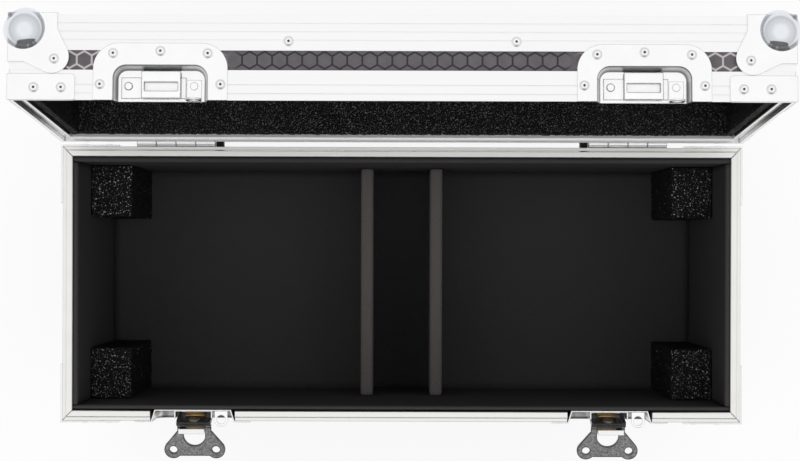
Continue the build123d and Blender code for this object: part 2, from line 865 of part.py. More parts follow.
for name, centre in latch_sides:
    # The leaf spring behind the arm, which keeps it leaning out
    with BuildPart() as latch_spring:
        foot_out = bracket_sheet + spring_thick / 2
        with BuildSketch(Plane((centre, 0, 0), x_dir=(0, 1, 0), z_dir=(1, 0, 0))) as leaf:
            with BuildLine() as bend:
                foot_y = out(foot_out)
                foot_line = Line((foot_y, rise(spring_foot_low)), (foot_y, rise(spring_foot_high)))
                tip = (out(spring_tip_out), rise(spring_tip_high))
                TangentArc(foot_line @ 1, tip, tangent=foot_line % 1)
            trace(bend.line, line_width=spring_thick)
        extrude(leaf.sketch, amount=spring_width / 2, both=True)
    save(latch_spring, f"{name}_latch_spring")

    # The arm: a black channel with a rail along each side of the hook plate
    with BuildPart() as latch_arm:
        full = (centre - arm_half_width, centre + arm_half_width)
        block(full, (out(arm_back_out), out(arm_front_out)), (rise(arm_plate_low), rise(arm_top)))
        for span in both(centre, arm_half_width - arm_rail_width, arm_half_width):
            block(span, (out(arm_front_out), out(arm_rail_out)), (rise(arm_rail_low), rise(arm_top)))
        flange_back = arm_pivot_out - arm_knuckle_radius
        for span in both(centre, arm_half_width - arm_flange_wall, arm_half_width):
            block(span, (out(flange_back), out(arm_front_out)), (rise(0), rise(arm_top)))
            knuckle = across(sum(span) / 2, arm_pivot_out, 0)
            rod(knuckle, arm_knuckle_radius, arm_flange_wall)
        pin_place = across(centre, arm_pivot_out, 0)
        pin_bore = pivot_pin_radius + running_clearance
        rod(pin_place, pin_bore, 3 * arm_half_width, mode=Mode.SUBTRACT)
        shaft_hole = facing(centre, arm_back_out, spindle_height)
        rod(shaft_hole, spindle_shaft_radius + running_clearance, arm_half_width, mode=Mode.SUBTRACT)
    save_leaning(latch_arm, f"{name}_latch_arm")

    # The hook plate, raised, with its lip bent back towards the keeper
    lift = 2 * cam_offset
    hook_top = arm_pivot_drop + hook_rise_latched + lift
    hook_front_out = hook_back_out + hook_thick
    with BuildPart() as latch_hook:
        span = (centre - hook_half_width, centre + hook_half_width)
        block(span, (out(hook_back_out), out(hook_front_out)), (rise(hook_low), rise(hook_top)))
        lip_levels = (rise(hook_top - hook_thick), rise(hook_top))
        block(span, (out(hook_lip_inner_out), out(hook_front_out)), lip_levels)
        with BuildSketch(facing(centre, hook_back_out, spindle_height + cam_offset)) as window:
            SlotCenterToCenter(2 * cam_offset + cam_play, 2 * (cam_radius + cam_play))
        extrude(window.sketch, amount=2 * hook_thick, both=True, mode=Mode.SUBTRACT)
    save_leaning(latch_hook, f"{name}_latch_hook")

    # The spindle: head, cam in the hook plate's window, shaft in the arm, and clip behind it
    with BuildPart() as latch_spindle:
        cam_back = arm_front_out + running_clearance
        head_back = hook_front_out + fit_gap / 2
        clip_back = arm_back_out - running_clearance - spindle_clip_thick
        head_place = facing(centre, head_back, spindle_height)
        disc(head_place, spindle_head_radius, spindle_head_out - head_back)
        cam_place = facing(centre, cam_back, spindle_height + cam_offset)
        disc(cam_place, cam_radius, head_back - cam_back)
        shaft_place = facing(centre, clip_back, spindle_height)
        disc(shaft_place, spindle_shaft_radius, cam_back - clip_back)
        disc(shaft_place, spindle_clip_radius, spindle_clip_thick)
        pin_place = across(centre, wing_axis_out, spindle_height)
        rod(pin_place, wing_pin_radius, 2 * wing_root_half, mode=Mode.SUBTRACT)
    save_leaning(latch_spindle, f"{name}_latch_spindle")

    with BuildPart() as wing_pin:
        rod(across(centre, wing_axis_out, spindle_height), wing_pin_radius, 2 * wing_root_half)
    save_leaning(wing_pin, f"{name}_wing_pin")

    # The wing, folded out square to the arm
    wing_origin = (centre, out(wing_axis_out), rise(spindle_height))
    wing_plane = Plane(wing_origin, x_dir=(1, 0, 0), z_dir=(0, 0, -1))
    with BuildPart() as latch_wing:
        with BuildSketch(wing_plane) as outline:
            with Locations((0, (wing_shoulder_out - wing_knuckle_radius) / 2)):
                Rectangle(2 * wing_root_half, wing_shoulder_out + wing_knuckle_radius)
            for side in (-1, 1):
                lobe_x = side * wing_lobe_spacing / 2
                with BuildLine() as half:
                    CenterArc((lobe_x, wing_lobe_out), wing_lobe_radius, 0, 360)
                    Line((0, wing_shoulder_out), (side * wing_shoulder_half, wing_shoulder_out))
                make_hull(half.edges())
            Polygon(
                (-wing_shoulder_half, wing_shoulder_out),
                (wing_shoulder_half, wing_shoulder_out),
                (wing_lobe_spacing / 2, wing_lobe_out),
                (wing_lobe_spacing / 2, wing_waist_out),
                (-wing_lobe_spacing / 2, wing_waist_out),
                (-wing_lobe_spacing / 2, wing_lobe_out),
                align=None,
            )
            with Locations((0, wing_notch_depth)):
                Circle(wing_notch_half, mode=Mode.SUBTRACT)
            with Locations((0, (wing_notch_depth - wing_lobe_out) / 2)):
                Rectangle(2 * wing_notch_half, wing_notch_depth + wing_lobe_out, mode=Mode.SUBTRACT)
            with Locations((0, wing_lobe_out)):
                with GridLocations(wing_lobe_spacing, wing_lobe_spacing, 2, 1):
                    Circle(wing_hole_radius, mode=Mode.SUBTRACT)
        extrude(outline.sketch, amount=wing_thick / 2, both=True)
        for span in both(centre, wing_notch_half, wing_root_half):
            back = (out(wing_axis_out - 2 * wing_knuckle_radius), out(wing_axis_out))
            levels = (rise(spindle_height - wing_thick), rise(spindle_height + wing_thick))
            block(span, back, levels, mode=Mode.SUBTRACT)
            knuckle_place = across(sum(span) / 2, wing_axis_out, spindle_height)
            rod(knuckle_place, wing_knuckle_radius, span[1] - span[0])
        pin_bore = wing_pin_radius + running_clearance
        rod(pin_place, pin_bore, 3 * wing_root_half, mode=Mode.SUBTRACT)
    save_leaning(latch_wing, f"{name}_latch_wing")


# Keepers in the lid's dishes: a plate with a raised, slotted bridge
with BuildPart() as keepers:
    for _, centre in latch_sides:
        levels = (seam + keeper_low, seam + keeper_high)
        bridge_levels = (seam + keeper_low, seam + bridge_high)
        slot_levels = (seam + slot_low, seam + slot_high)
        raised = (out(bridge_out - dish_sheet), out(bridge_out))
        plate_span = (centre - keeper_half_width, centre + keeper_right_edge)
        block(plate_span, (out(0), out(dish_sheet)), levels)
        for span in both(centre, bridge_half_width - dish_sheet, bridge_half_width):
            block(span, (out(0), out(bridge_out)), levels)
        block((centre - bridge_half_width, centre + bridge_half_width), raised, bridge_levels)
        slot_span = (centre - slot_half_width, centre + slot_half_width)
        block(slot_span, raised, slot_levels, mode=Mode.SUBTRACT)
        rivet_rise = arm_pivot_drop + keeper_rivet_height
        rivet_place = facing(centre - keeper_rivet_offset, dish_sheet, rivet_rise)
        disc(rivet_place, small_rivet_radius, small_rivet_height)
save_open(keepers, "keepers")


def add_padlock_eye(centre, direction):
    """A leg on the dish floor and a flat ring that stands out beside the seam."""
    near = seam + direction * (fit_gap if direction > 0 else fit_gap / 2)
    far = near + direction * eye_thick
    left = centre + eye_offset - eye_strip_half
    right = centre + eye_offset + eye_strip_half
    leg_end = near + direction * eye_leg_length
    block((left, right), (out(0), out(eye_thick)), sorted((near, leg_end)))
    block((left, right), (out(0), out(eye_ring_out)), sorted((near, far)))
    ring_plane = Plane((centre + eye_offset, out(eye_ring_out), min(near, far)))
    disc(ring_plane, eye_ring_radius, eye_thick)
    disc(ring_plane, eye_hole_radius, eye_thick, mode=Mode.SUBTRACT)
    rivet_rise = arm_pivot_drop + direction * keeper_rivet_height
    rivet_place = facing(centre + keeper_rivet_offset, eye_thick, rivet_rise)
    disc(rivet_place, small_rivet_radius, small_rivet_height)


with BuildPart() as base_padlock_eyes:
    for _, centre in latch_sides:
        add_padlock_eye(centre, -1)
save(base_padlock_eyes, "base_padlock_eyes")

with BuildPart() as lid_padlock_eyes:
    for _, centre in latch_sides:
        add_padlock_eye(centre, 1)
save_open(lid_padlock_eyes, "lid_padlock_eyes")

# Hinges
hinge_length = hinge_knuckle_count * hinge_knuckle_length
notch_radius = hinge_knuckle_radius + hinge_knuckle_gap


def knuckle_rods(centre, odd, radius, extra, mode=Mode.ADD):
    """Every second knuckle of one hinge, as rods along its axis."""
    for count in range(hinge_knuckle_count):
        if count % 2 == odd:
            middle = centre - hinge_length / 2 + (count + 0.5) * hinge_knuckle_length
            plane = Plane((middle, hinge_y, seam), x_dir=(0, 1, 0), z_dir=(1, 0, 0))
            rod(plane, radius, hinge_knuckle_length + extra, mode=mode)


def hinge_leaf(centre, direction):
    """One leaf of a hinge: a plate on the back face, with its own two knuckles."""
    own = 0 if direction < 0 else 1
    bore = hinge_pin_radius + (0 if direction < 0 else running_clearance)
    ends = (centre - hinge_length / 2, centre + hinge_length / 2)
    start = seam + direction * fit_gap
    with BuildPart() as leaf:
        levels = sorted((start, seam + direction * hinge_leaf_height))
        block(ends, (half_depth, half_depth + hinge_leaf_thick), levels)
        with BuildSketch(Plane((ends[0], 0, 0), x_dir=(0, 1, 0), z_dir=(1, 0, 0))) as web:
            Polygon(
                (half_depth, seam + direction * 2 * hinge_knuckle_radius),
                (hinge_y, seam + direction * hinge_knuckle_radius),
                (hinge_y, start),
                (half_depth, start),
                align=None,
            )
        extrude(web.sketch, amount=hinge_length)
        knuckle_rods(centre, 1 - own, notch_radius, hinge_knuckle_gap, mode=Mode.SUBTRACT)
        knuckle_rods(centre, own, hinge_knuckle_radius, -hinge_knuckle_gap)
        pin_plane = Plane((centre, hinge_y, seam), x_dir=(0, 1, 0), z_dir=(1, 0, 0))
        rod(pin_plane, bore, 2 * hinge_length, mode=Mode.SUBTRACT)
    return leaf.part


with BuildPart() as base_hinge_leaves:
    add([hinge_leaf(side * hinge_offset, -1) for side in (-1, 1)])
    drill(base_hinge_places, hinge_leaf_thick)
save(base_hinge_leaves, "base_hinge_leaves")

with BuildPart() as lid_hinge_leaves:
    add([hinge_leaf(side * hinge_offset, 1) for side in (-1, 1)])
    drill(lid_hinge_places, hinge_leaf_thick)
save_open(lid_hinge_leaves, "lid_hinge_leaves")

with BuildPart() as hinge_pins:
    for side in (-1, 1):
        place = Plane((side * hinge_offset, hinge_y, seam), x_dir=(0, 1, 0), z_dir=(1, 0, 0))
        rod(place, hinge_pin_radius, hinge_length)
save(hinge_pins, "hinge_pins")

# Black blocks beside the hinges, on which the open lid rests
with BuildPart() as lid_stop_blocks:
    for side in (-1, 1):
        inner = hinge_offset - hinge_length / 2 - 2 * hinge_knuckle_gap
        span = sorted((side * inner, side * (inner - stop_block_width)))
        back = half_depth + stop_block_out
        block(span, (half_depth, back), (seam - stop_block_drop, seam - fit_gap))
        rest_height = hinge_axis_out * cos(radians(lid_open_angle - 90)) - 2 * fit_gap
        block(span, (hinge_y, back), (seam - fit_gap, seam + rest_height))
        middle = sum(span) / 2
        rod(Plane((middle, hinge_y, seam), x_dir=(0, 1, 0), z_dir=(1, 0, 0)), rest_height, stop_block_width)
save(lid_stop_blocks, "lid_stop_blocks")

# End handles
for name, side in (("left", -1), ("right", 1)):
    outward = (side, 0, 0)
    face = Plane((side * panel_x, 0, handle_level), x_dir=(0, 1, 0), z_dir=outward)
    floor_x = half_width - handle_floor_depth
    lip_out = panel_x + dish_sheet
    with BuildPart() as handle_dish:
        with BuildSketch(face) as flange:
            RectangleRounded(handle_width, handle_height, handle_dish_round)
        extrude(flange.sketch, amount=dish_sheet)
        with BuildSketch(face.offset(dish_sheet)) as outer:
            shell_width = handle_pocket_width + 2 * dish_sheet
            shell_height = handle_pocket_height + 2 * dish_sheet
            RectangleRounded(shell_width, shell_height, handle_dish_round + dish_sheet)
        extrude(outer.sketch, amount=-(lip_out - floor_x + dish_sheet))
        with BuildSketch(face.offset(dish_sheet)) as inner:
            RectangleRounded(handle_pocket_width, handle_pocket_height, handle_dish_round)
        extrude(inner.sketch, amount=-(lip_out - floor_x), mode=Mode.SUBTRACT)
        drill(handle_places, dish_sheet)
    save(handle_dish, f"{name}_handle_dish")

    pivot_z = handle_level + bail_pivot_rise
    grip_z = handle_level - bail_grip_drop
    bail_x = side * (floor_x + bail_pivot_out)
    ear_inner_y = bail_half_span + bail_rod_radius + ear_inner_gap
    pin_end = ear_inner_y + ear_thick + ear_inner_gap
    with BuildPart() as handle_ears:
        for y_side in (-1, 1):
            span = (y_side * ear_inner_y, y_side * (ear_inner_y + ear_thick))
            block((side * floor_x, bail_x), span, (pivot_z - ear_radius, pivot_z + ear_radius))
            plane = Plane((bail_x, sum(span) / 2, pivot_z), x_dir=(1, 0, 0), z_dir=(0, 1, 0))
            rod(plane, min(ear_radius, bail_pivot_out), ear_thick)
            rod(plane, bail_rod_radius + running_clearance, 2 * ear_thick, mode=Mode.SUBTRACT)
    save(handle_ears, f"{name}_handle_ears")

    bail_plane = Plane((bail_x, 0, 0), x_dir=(0, 1, 0), z_dir=(1, 0, 0))
    with BuildPart() as handle_bail:
        with BuildLine(bail_plane) as route:
            FilletPolyline(
                (-pin_end, pivot_z),
                (-bail_half_span, pivot_z),
                (-bail_half_span, grip_z),
                (bail_half_span, grip_z),
                (bail_half_span, pivot_z),
                (pin_end, pivot_z),
                radius=(bail_elbow_radius, bail_bend_radius, bail_bend_radius, bail_elbow_radius),
            )
        start = Plane((bail_x, -pin_end, pivot_z), x_dir=(1, 0, 0), z_dir=(0, 1, 0))
        with BuildSketch(start) as section:
            Circle(bail_rod_radius)
        sweep(section.sketch, path=route.line)
    save(handle_bail, f"{name}_handle_bail")

    with BuildPart() as handle_grip:
        plane = Plane((bail_x, 0, grip_z), x_dir=(1, 0, 0), z_dir=(0, 1, 0))
        rod(plane, grip_radius, 2 * grip_half_length)
        rod(plane, bail_rod_radius, 2 * grip_half_length, mode=Mode.SUBTRACT)
    save(handle_grip, f"{name}_handle_grip")

with BuildPart() as base_rivets:
    add_rivets(base_corner_places + base_brace_places, plate_thick, rivet_grip + plate_thick)
    add_rivets(base_hinge_places, hinge_leaf_thick, rivet_grip + hinge_leaf_thick)
    add_rivets(base_edging_places, 0, rivet_grip)
    add_rivets(base_dish_rim_places, dish_sheet, rivet_grip + dish_sheet)
    low_seat = dish_sheet - sheet_wall
    add_rivets(base_dish_places + handle_places, low_seat, rivet_grip + low_seat)
save(base_rivets, "base_rivets")

# Panels of the lid, drawn closed
lid_panel_top = lid_top - sheet_wall
with BuildPart() as lid_front_panel:
    block((-panel_x, panel_x), (-panel_y, -inner_y), (lid_panel_low, lid_panel_top))
    cut_latch_openings(1, lid_pocket_height)
    drill_lid()
save_open(lid_front_panel, "lid_front_panel")

with BuildPart() as lid_back_panel:
    block((-panel_x, panel_x), (inner_y, panel_y), (lid_panel_low, lid_panel_top))
    drill_lid()
save_open(lid_back_panel, "lid_back_panel")

for name, side in (("left", -1), ("right", 1)):
    with BuildPart() as lid_side_panel:
        block((side * inner_x, side * panel_x), (-inner_y, inner_y), (lid_panel_low, lid_panel_top))
        drill_lid()
    save_open(lid_side_panel, f"lid_{name}_panel")

with BuildPart() as lid_top_panel:
    block((-inner_x, inner_x), (-inner_y, inner_y), (lid_inner_top, lid_panel_top))
    drill_lid()
save_open(lid_top_panel, "lid_top_panel")

lid_liner_x = rim_x - lid_liner_thick + inner_leg_wall
lid_liner_y = rim_y - lid_liner_thick + inner_leg_wall
lid_liner_top = lid_inner_top - lid_top_liner_thick
lid_leg_high = rebate_top + closing_inner_leg
with BuildPart() as lid_wall_liners:
    for side in (-1, 1):
        block((-inner_x, inner_x), (side * lid_liner_y, side * inner_y), (lid_panel_low, lid_liner_top))
        span = (side * lid_liner_x, side * inner_x)
        block(span, (mitre_gap - lid_liner_y, lid_liner_y - mitre_gap), (lid_panel_low, lid_liner_top))
    ring(case_width, case_depth, rim_width, (0, lid_leg_high), mode=Mode.SUBTRACT)
    for _, centre in latch_sides:
        span = (centre - pocket_half, centre + pocket_half)
        high = seam + lid_pocket_height + 2 * dish_sheet
        block(span, (-inner_y, -dish_back), (0, high), mode=Mode.SUBTRACT)
save_open(lid_wall_liners, "lid_wall_liners")

with BuildPart() as lid_top_liner:
    block((-inner_x, inner_x), (-inner_y, inner_y), (lid_liner_top, lid_inner_top))
save_open(lid_top_liner, "lid_top_liner")

with BuildPart() as lid_top_edging:
    add_edging(lid_top, -1, edging_corner_clear)
    drill_lid()
save_open(lid_top_edging, "lid_top_edging")

with BuildPart() as lid_corner_edging:
    add_posts((seam + closing_leg, lid_top - edging_leg))
    drill_lid()
save_open(lid_corner_edging, "lid_corner_edging")

with BuildPart() as lid_closing_frame:
    ring(case_width, case_depth, sheet_wall, (seam, seam + closing_leg))
    ring(case_width, case_depth, lid_lip_width, (seam, lid_panel_low))
    ring(case_width, case_depth, rim_width, (rebate_top, lid_panel_low))
    inset = 2 * (rim_width - inner_leg_wall)
    ring(case_width - inset, case_depth - inset, inner_leg_wall, (rebate_top, lid_leg_high))
    add_closing_lines(1)
    cut_mitres(rim_width)
    for _, centre in latch_sides:
        half = pocket_width / 2 + dish_sheet + fit_gap
        block((centre - half, centre + half), (-case_depth, 0), (0, lid_top), mode=Mode.SUBTRACT)
    drill_lid()
save_open(lid_closing_frame, "lid_closing_frame")

with BuildPart() as lid_ball_corners:
    add_ball_corners(lid_top, True)
    drill(lid_corner_places, plate_thick)
save_open(lid_ball_corners, "lid_ball_corners")

with BuildPart() as lid_corner_braces:
    add_braces(1)
    round_brace_corners(lid_corner_braces, 1)
    drill(lid_brace_places, plate_thick)
save_open(lid_corner_braces, "lid_corner_braces")

with BuildPart() as lid_rivets:
    add_rivets(lid_corner_places + lid_brace_places, plate_thick, rivet_grip + plate_thick)
    add_rivets(lid_hinge_places, hinge_leaf_thick, rivet_grip + hinge_leaf_thick)
    add_rivets(lid_edging_places, 0, rivet_grip)
    add_rivets(lid_dish_places, dish_sheet, rivet_grip + dish_sheet)
save_open(lid_rivets, "lid_rivets")
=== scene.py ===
# %% [markdown]
# # Flight case with its lid open
# This script dresses a flight case: plywood panels in a dark laminate, held by aluminium profiles,
# with steel fittings outside and foam inside. The imported CAD model comes in as a fixed frame, so
# every sheet, profile and fitting is already in place, and the script adds the studio, the finishes
# and the soft foam. The first step loads the frame at the size of the CAD model.

# %% Load the frame
from math import cos, pi, radians, sin

import bmesh
import bpy
import numpy as np
from mathutils import Matrix, Vector, noise


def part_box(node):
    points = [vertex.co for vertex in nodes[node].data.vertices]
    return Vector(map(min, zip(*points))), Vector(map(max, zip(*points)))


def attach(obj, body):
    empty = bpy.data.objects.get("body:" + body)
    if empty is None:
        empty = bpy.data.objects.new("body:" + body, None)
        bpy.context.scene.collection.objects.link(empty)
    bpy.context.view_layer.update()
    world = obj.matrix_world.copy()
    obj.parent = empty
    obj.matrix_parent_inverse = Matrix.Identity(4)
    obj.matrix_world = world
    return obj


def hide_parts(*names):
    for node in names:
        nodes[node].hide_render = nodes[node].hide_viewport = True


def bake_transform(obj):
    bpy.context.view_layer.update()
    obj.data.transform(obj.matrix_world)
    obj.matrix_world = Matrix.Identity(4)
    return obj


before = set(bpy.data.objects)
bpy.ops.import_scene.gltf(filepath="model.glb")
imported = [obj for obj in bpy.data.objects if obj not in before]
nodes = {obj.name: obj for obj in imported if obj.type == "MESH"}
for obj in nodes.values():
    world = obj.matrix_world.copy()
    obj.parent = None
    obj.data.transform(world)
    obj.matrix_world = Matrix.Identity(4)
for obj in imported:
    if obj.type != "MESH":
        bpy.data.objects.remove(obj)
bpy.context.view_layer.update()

# %% [markdown]
# ## Camera
# The photograph looks straight down into the case. The walls of the deep base lean outwards in the
# picture, and they lean more the nearer a camera stands, so they give its distance: about two
# metres over the rim. A long lens then fills the picture. The camera stands a little behind the
# middle of the case, so that the front of the open lid shows. A small shift of the sensor brings
# the rim to its place in the picture without tilting the view, so upright edges stay upright.

# %% Camera over the rim
seam_height = 0.2587
rim_height = seam_height + 0.003
camera_distance = 1.920
camera_across, camera_back = -0.0016, 0.0370
camera_roll = 0.0031
camera_data = bpy.data.cameras.new("studio_camera")
camera_data.lens = 89.55
camera_data.shift_y = 0.0194
camera = bpy.data.objects.new("studio_camera", camera_data)
camera.location = (camera_across, camera_back, rim_height + camera_distance)
camera.rotation_euler = (0, 0, camera_roll)
bpy.context.scene.collection.objects.link(camera)
bpy.context.scene.camera = camera
print("camera at", tuple(round(v, 3) for v in camera.location))

# %% [markdown]
# ## Materials by code
# A material in Blender is a graph of small nodes. It could be drawn by hand with the mouse, but
# code can be read, changed and run again. These helpers start a graph with its main shader and add
# a node with its inputs set, so each finish below reads as a short recipe. Coordinates come from
# the object, whose origin is the origin of the case, in metres, so a pattern stays on its piece.


# %% Helpers that build a graph
def new_finish(name):
    """A fresh material and its node tree."""
    finish = bpy.data.materials.new(name)
    finish.use_nodes = True
    return finish, finish.node_tree


def main_shader(tree):
    """The principled shader that every new material starts with."""
    return tree.nodes["Principled BSDF"]


def feed(tree, node, **inputs):
    """Set inputs, each by its name or as i0, i1 and so on, to a value or to a socket."""
    for key, value in inputs.items():
        numbered = key[1:].isdigit()
        socket = node.inputs[int(key[1:]) if numbered else key.replace("_", " ")]
        if isinstance(value, bpy.types.NodeSocket):
            tree.links.new(value, socket)
        else:
            socket.default_value = value
    return node


def add_node(tree, kind, settings=None, **inputs):
    """Add one node with its settings and inputs."""
    node = tree.nodes.new(kind)
    for key, value in (settings or {}).items():
        setattr(node, key, value)
    return feed(tree, node, **inputs)


# %% [markdown]
# ## Sums between nodes
# Patterns are sums on coordinates. Blender has a node for each sum, and a long chain of them is
# hard to read, so each kind gets a plain word here: a sum on numbers or on vectors, a dot product,
# a change of range, a ramp of colours.


# %% Helpers that calculate
def maths(tree, operation, first, second=0.0, clamp=False):
    """One sum on two values or sockets."""
    settings = {"operation": operation, "use_clamp": clamp}
    return add_node(tree, "ShaderNodeMath", settings, i0=first, i1=second).outputs[0]


def vector_maths(tree, operation, first, second=(0, 0, 0)):
    """One sum on two vectors or sockets."""
    settings = {"operation": operation}
    return add_node(tree, "ShaderNodeVectorMath", settings, i0=first, i1=second).outputs[0]


def dot(tree, first, second):
    """The dot product of two vectors or sockets."""
    settings = {"operation": "DOT_PRODUCT"}
    return add_node(tree, "ShaderNodeVectorMath", settings, i0=first, i1=second).outputs["Value"]


def split(tree, vector):
    """The x, y and z of a vector."""
    return add_node(tree, "ShaderNodeSeparateXYZ", Vector=vector).outputs


def remap(tree, value, low, high, new_low=0.0, new_high=1.0):
    """A value taken from one range to another, and kept inside the new one."""
    ends = {"From_Min": low, "From_Max": high, "To_Min": new_low, "To_Max": new_high}
    return add_node(tree, "ShaderNodeMapRange", Value=value, **ends).outputs[0]


def place(tree, turn=(0, 0, 0), scale=(1, 1, 1), move=(0, 0, 0)):
    """Object coordinates, moved, then scaled and turned."""
    coordinates = add_node(tree, "ShaderNodeTexCoord").outputs["Object"]
    moved = vector_maths(tree, "ADD", coordinates, move)
    return add_node(tree, "ShaderNodeMapping", Vector=moved, Rotation=turn, Scale=scale).outputs[0]


# %% Helpers that colour
def grey(value, tint=(1, 1, 1)):
    """A grey with a slight tint."""
    return tuple(value * part for part in tint)


def ramp(tree, value, stops):
    """Colours along a value: stops are (position, colour)."""
    node = add_node(tree, "ShaderNodeValToRGB", Fac=value)
    while len(node.color_ramp.elements) < len(stops):
        node.color_ramp.elements.new(0.5)
    for element, (position, colour) in zip(node.color_ramp.elements, stops):
        element.position = position
        element.color = (*colour, 1)
    return node.outputs[0]


def drifting(tree, value, colour, cloud):
    """A colour that drifts with a value between 0 and 1, darker by a share where that is low."""
    low = tuple(part * (1 - cloud) for part in colour)
    return ramp(tree, value, [(0.3, low), (0.7, colour)])


def mixed(tree, share, first, second):
    """The first colour where the share is 0, the second where it is 1."""
    settings = {"data_type": "RGBA"}
    return add_node(tree, "ShaderNodeMix", settings, Factor=share, i6=first, i7=second).outputs[2]


# %% [markdown]
# ## Grain and soft edges
# No real surface is even. Noise gives a finish its clouds, streaks and grain, and a bump node turns
# them into relief that only the light sees. A bevel node rounds the sharp edges of the CAD mesh in
# the shading alone. Real geometry could do both, but it would cost many thousands of faces, and
# this way the size stays as it is.

# %% Helpers for surfaces
bevel_samples = 6


def speckle(tree, where, scale, detail=3.0, roughness=0.5):
    """Noise between 0 and 1."""
    inputs = {"Vector": where, "Scale": scale, "Detail": detail, "Roughness": roughness}
    return add_node(tree, "ShaderNodeTexNoise", **inputs).outputs["Fac"]


def rounded(tree, radius):
    """The way the surface looks, as if its edges were rounded."""
    return add_node(tree, "ShaderNodeBevel", {"samples": bevel_samples}, Radius=radius).outputs[0]


def wear(tree, shader, relief, strength, distance, soft_edge=0.0):
    """Bump from a height, over a softly rounded edge."""
    bump = add_node(tree, "ShaderNodeBump", Height=relief, Strength=strength, Distance=distance)
    if soft_edge:
        feed(tree, bump, Normal=rounded(tree, soft_edge))
    feed(tree, shader, Normal=bump.outputs[0])


# %% [markdown]
# ## Metal
# Metal has no colour of its own but its reflections, so most of its look is the roughness. The
# profiles are satin aluminium, drawn through a die, which leaves fine streaks along their length.
# The fittings are zinc-plated steel with a faint cloudiness, and the wings are cast, so they are
# grainy. A cut or bent sheet shows a thin dark line at its corners, where it mirrors the dark of
# its own joint. A small chamfer could be modelled there, but it is narrower than a pixel. So the
# finish paints the line into its colour, as a painted dark reflection: where the rounded surface and
# the true one look apart, a corner is near.

# %% How near a corner is
flat_level, corner_level = 0.985, 0.90


def edge_share(tree, radius):
    """How near a point is to a corner of the metal: 0 on the flat, 1 on the corner itself."""
    true_way = add_node(tree, "ShaderNodeNewGeometry").outputs["True Normal"]
    return remap(tree, dot(tree, rounded(tree, radius), true_way), flat_level, corner_level)


# %% One recipe for every metal
fine_grain = 900.0
grain_depth = 0.0002


def metal(name, colour, roughness, cloud, soft_edge=0.0004, stretch=(1, 1, 1),
          grain=0.05, cloud_scale=60.0, line=None):
    """A metal that drifts a little; a line (reach, colour) is a painted dark reflection at its
    corners.
    """
    finish, tree = new_finish(name)
    shader = main_shader(tree)
    where = place(tree, scale=stretch)
    drift = speckle(tree, where, cloud_scale)
    fine = speckle(tree, where, fine_grain, 2.0)
    shade = drifting(tree, drift, colour, cloud)
    # The line is painted reflection: the colour is darkened near the corners.
    if line:
        reach, line_colour = line
        shade = mixed(tree, edge_share(tree, reach), shade, (*line_colour, 1))
    spread = remap(tree, fine, 0.0, 1.0, roughness * 0.85, roughness * 1.15)
    feed(tree, shader, Base_Color=shade, Metallic=1.0, Roughness=spread)
    wear(tree, shader, fine, grain, grain_depth, soft_edge)
    return finish


# %% Aluminium
drawn = (0.04, 1, 1)
base_aluminium = metal("satin_aluminium", (0.86, 0.855, 0.83), 0.30, 0.04, 0.0008, drawn)
lid_aluminium = metal("pale_aluminium", grey(0.97), 0.36, 0.02, 0.0002, drawn)
closing_aluminium = metal("drawn_aluminium", grey(0.80), 0.16, 0.03, 0.0002, drawn,
                          line=(0.0011, grey(0.08)))
rivet_metal = metal("rivet_aluminium", (0.96, 0.96, 0.965), 0.34, 0.04, 0.0002)
# The bore of each rivet takes a dark grey: painted shade in the hollow.
painted_bore_shade = metal("rivet_bore_shade", (0.16, 0.155, 0.15), 0.45, 0.3, 0.0)
print("aluminium and rivets:", [finish.name for finish in bpy.data.materials])

# %% Steel and cast zinc
zinc_white = (0.97, 0.97, 0.975)
plated_steel = metal("zinc_plate", zinc_white, 0.20, 0.03, 0.0009, line=(0.0006, grey(0.62)))
bright_zinc = metal("bright_zinc", zinc_white, 0.12, 0.03, 0.0004, grain=0.01)
hinge_steel = metal("hinge_plate", (0.95, 0.95, 0.955), 0.22, 0.04, 0.0009,
                    line=(0.0013, grey(0.05)))
feed(hinge_steel.node_tree, main_shader(hinge_steel.node_tree), Metallic=0.6)
pin_metal = metal("turned_steel", (0.66, 0.66, 0.67), 0.28, 0.08)
leaf_steel = metal("tempered_leaf", (0.80, 0.58, 0.30), 0.34, 0.35)
cast_zinc = metal("cast_zinc", (0.48, 0.48, 0.485), 0.40, 0.66, 0.0010,
                  grain=0.6, cloud_scale=520.0, line=(0.0026, grey(0.04)))
print("all metals:", len(bpy.data.materials))

# %% [markdown]
# ## Laminate
# The panels are plywood behind a dark laminate printed with hexagons. An image of the print could
# be laid on them, but a pattern that is worked out from the coordinates is sharp from any distance.
# The plane is cut into two shifted grids of cells, each point takes the nearer centre, and its
# distance to that centre gives the edge of the hexagon. The lines are foil-like, so they shine
# where the ground stays matt.

# %% Distance to the edge of a hexagon
hexagon_pitch = 0.01253
hexagon_line = 0.0016


def folded(tree, value, step):
    """How far a value is from the middle of its cell."""
    inside = maths(tree, "FLOORED_MODULO", value, step)
    return maths(tree, "ABSOLUTE", maths(tree, "SUBTRACT", inside, step / 2))


def hexagon_edge(tree, across, up):
    """How near a point is to the edge of its hexagon: 1 on the edge, 0 at the centre."""
    row_step = 3 ** 0.5
    best = None
    for shift in (0.0, 0.5):
        x = folded(tree, maths(tree, "ADD", across, shift), 1.0)
        y = folded(tree, maths(tree, "ADD", up, shift * row_step), row_step)
        half_x = maths(tree, "MULTIPLY", x, 0.5)
        slant = maths(tree, "ADD", half_x, maths(tree, "MULTIPLY", y, row_step / 2))
        far = maths(tree, "MULTIPLY", maths(tree, "MAXIMUM", x, slant), 2.0)
        best = far if best is None else maths(tree, "MINIMUM", best, far)
    return best


# %% Foil lines on a dark ground
line_blur = 0.02
foil_grey, painted_dark_foil = (0.50, 0.46, 0.47), (0.045, 0.040, 0.046)
ground_shades = [(0.35, (0.082, 0.074, 0.084)), (0.7, (0.104, 0.095, 0.106))]
painted_dark_end, painted_dark_fade_end = 0.135, 0.175
matt, glossy = 0.42, 0.10


